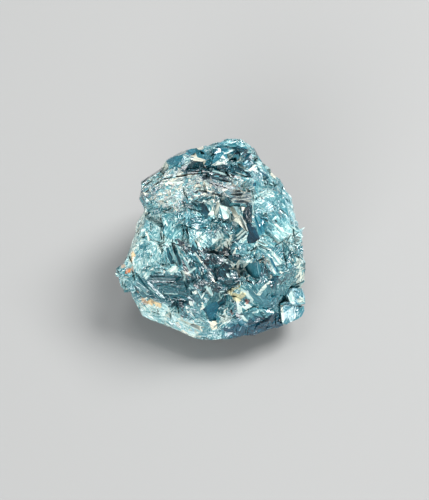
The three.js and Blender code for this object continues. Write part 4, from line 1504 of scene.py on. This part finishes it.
@dataclass(frozen=True)
class FoldedMap:
    """A UV map that folds the skin flat from the stone's centre as an octahedron, broad face inside."""

    axes: StoneAxes
    margin: float = 0.02
    name: str = "OFBake"

    def split(self, mesh: bpy.types.Mesh) -> None:
        """Splits the facets along the map's folds, so that none crosses one.

        Args:
            mesh: the stone's mesh, in millimetres.
        """
        middle = Vector((0.0, 0.0, self.axes.centre_height))
        work = bmesh.new()
        work.from_mesh(mesh)
        for fold in self.axes.turn:
            parts = [*work.verts, *work.edges, *work.faces]
            bmesh.ops.bisect_plane(work, geom=parts, dist=1e-6, plane_co=middle, plane_no=Vector(fold))
        work.to_mesh(mesh)
        work.free()

    def lay(self, mesh: bpy.types.Mesh) -> None:
        """Writes the map.

        Args:
            mesh: the split mesh, in millimetres.
        """
        sizes = rows(mesh.polygons, "loop_total", 1, np.int32)[:, 0]
        corners = rows(mesh.loops, "vertex_index", 1, np.int32)[:, 0]
        places = self.axes.places(rows(mesh.vertices, "co"))[corners]
        signs = np.where(self.axes.places(rows(mesh.polygons, "center")) < 0, -1.0, 1.0)
        signs = np.repeat(signs, sizes, axis=0)
        away = places * signs
        away /= away.sum(axis=1)[:, None]
        folded = np.where(signs[:, 2:] > 0, away[:, :2], 1 - away[:, 1::-1]) * signs[:, :2]
        flat = 0.5 + folded * (0.5 - self.margin)
        mesh.uv_layers.new(name=self.name).data.foreach_set("uv", flat.astype(np.float32).ravel())


@dataclass
class RoughDiamond:
    """The stone: a copy of its solid, carved with fine laths and dressed facet by facet.
    """

    node: str = "rough_diamond"
    merge: float = 1e-5
    share: float = 1.34
    quick_share: float = 0.3
    axes: StoneAxes = field(default_factory=StoneAxes)

    def base(self) -> bpy.types.Object:
        """Merges a copy of the solid and adds the lumps that stand out of it.

        Returns:
            The uncarved stone, in millimetres.
        """
        work = bmesh.new()
        work.from_mesh(frame["nodes"][self.node].data)
        bmesh.ops.scale(work, vec=(1 / MM,) * 3, verts=work.verts)
        bmesh.ops.remove_doubles(work, verts=work.verts, dist=self.merge)
        stone = finished(work, "diamond")
        bpy.context.scene.collection.objects.link(stone)
        combine(stone, [chunk.solid(self.axes) for chunk in CHUNKS], Boolean.ADDED)
        return stone

    def build(self) -> bpy.types.Object:
        """Carves and dresses the stone, and puts it on its body.

        Returns:
            The stone, in metres.
        """
        draw = np.random.default_rng(SEED)
        stone_map = StoneMap(self.axes, (*PATCHES, *FACETS), FLANK)
        stone = self.base()
        carver = LathCarver(stone_map, draw, self.share)
        cuts = carver.carve(stone, FACETS)
        mesh = stone.data
        mesh.materials.clear()
        folds = FoldedMap(self.axes)
        folds.split(mesh)
        centres, normals = rows(mesh.polygons, "center"), rows(mesh.polygons, "normal")
        runs = carver.runs(centres, normals, stone_map.at(centres, draw, 0.0))
        FacetDresser(stone_map, draw).dress(mesh, runs)
        folds.lay(mesh)
        material = bpy.data.materials.new("teal_diamond")
        DiamondFinish().dress(material, self.stain_places(stone))
        mesh.materials.append(material)
        mesh.transform(Matrix.Scale(MM, 4))
        triangles = sum(len(face.vertices) - 2 for face in mesh.polygons)
        LOG.info("diamond: %d cuts, %d facets, %d triangles", cuts, len(mesh.polygons), triangles)
        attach(stone, "root")
        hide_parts(self.node)
        return stone

    def stain_places(self, stone: bpy.types.Object) -> list[StainPlace]:
        """Finds the stains' places on the stone's skin.

        Args:
            stone: the stone, in millimetres.

        Returns:
            Each stain's place, its hole's place or None, and the stain.
        """
        bpy.context.view_layer.update()
        found = []
        for stain in STAINS:
            place = self.axes.under(stone, *stain.middle)
            if place is not None:
                hole = self.axes.under(stone, *stain.hole[:2]) if stain.hole else None
                found.append((place, hole, stain))
        return found


@dataclass(frozen=True)
class Lamp:
    """A soft square lamp that faces the stone: its place and size in metres, and its power in watts."""

    name: str
    place: Triple
    size: float
    power: float

    def hang(self, aim: Vector) -> None:
        """Hangs the lamp.

        Args:
            aim: the place that it is turned to, in metres.
        """
        data = bpy.data.lights.new(self.name, "AREA")
        data.size = self.size
        data.energy = self.power
        lamp = bpy.data.objects.new(self.name, data)
        lamp.location = self.place
        lamp.rotation_euler = (aim - Vector(self.place)).to_track_quat("-Z", "Y").to_euler()
        bpy.context.scene.collection.objects.link(lamp)


@dataclass
class Studio:
    """The pale floor, soft lights and the camera.

    aim is the middle of what the camera looks at and drop how far below it the view is centred,
    both in millimetres.
    """

    lamps: tuple[Lamp, ...] = (
        Lamp("key", (0.09, 0.05, 0.15), 0.09, 0.46),
        Lamp("fill", (-0.06, -0.17, 0.07), 0.13, 0.38),
        Lamp("top", (-0.03, 0.06, 0.19), 0.08, 0.12),
    )
    air: Colour = (0.75, 0.8, 0.85, 1.0)
    air_strength: float = 0.4
    floor_colour: Colour = (0.32, 0.32, 0.315, 1.0)
    lens: float = 122.0
    distance: float = 0.075
    elevation: float = math.radians(55)
    aim: Triple = (0.11, 0.0, 3.2)
    drop: float = 0.485

    def build(self) -> None:
        """Builds everything around the stone."""
        self.floor()
        for lamp in self.lamps:
            lamp.hang(Vector((0.0, 0.0, self.aim[2] * MM)))
        world = bpy.context.scene.world or bpy.data.worlds.new("studio")
        bpy.context.scene.world = world
        world.use_nodes = True
        world.node_tree.nodes["Background"].inputs["Color"].default_value = self.air
        world.node_tree.nodes["Background"].inputs["Strength"].default_value = self.air_strength
        bpy.context.scene.view_settings.view_transform = "Standard"
        self.camera()

    def floor(self) -> None:
        """A plain pale floor."""
        work = bmesh.new()
        bmesh.ops.create_grid(work, x_segments=1, y_segments=1, size=1.0)
        floor = finished(work, "floor")
        material = bpy.data.materials.new("pale_floor")
        bench = NodeBench(material)
        look = {"Base Color": self.floor_colour, "Roughness": 0.8}
        shader = bench.make("ShaderNodeBsdfPrincipled", {}, look)["BSDF"]
        bench.make("ShaderNodeOutputMaterial", {}, {"Surface": shader})
        floor.data.materials.append(material)
        bpy.context.scene.collection.objects.link(floor)

    def camera(self) -> None:
        """The camera, square to the broad face."""
        data = bpy.data.cameras.new("camera")
        data.lens = self.lens
        data.clip_start = 0.001
        data.clip_end = 10.0
        camera = bpy.data.objects.new("camera", data)
        back = Vector((0.0, -math.cos(self.elevation), math.sin(self.elevation)))
        up = Vector((0.0, math.sin(self.elevation), math.cos(self.elevation)))
        camera.location = Vector(self.aim) * MM - up * self.drop * MM + back * self.distance
        camera.rotation_euler = (math.pi / 2 - self.elevation, 0.0, 0.0)
        bpy.context.scene.collection.objects.link(camera)
        bpy.context.scene.camera = camera


def main() -> None:
    """Builds the stone and its surroundings."""
    logging.basicConfig(level=logging.INFO, format="%(name)s: %(message)s")
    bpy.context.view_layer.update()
    RoughDiamond().build()
    Studio().build()
    LOG.info("studio: floor, lamps and camera")
    bpy.context.view_layer.update()


if __name__ == "__main__":
    main()
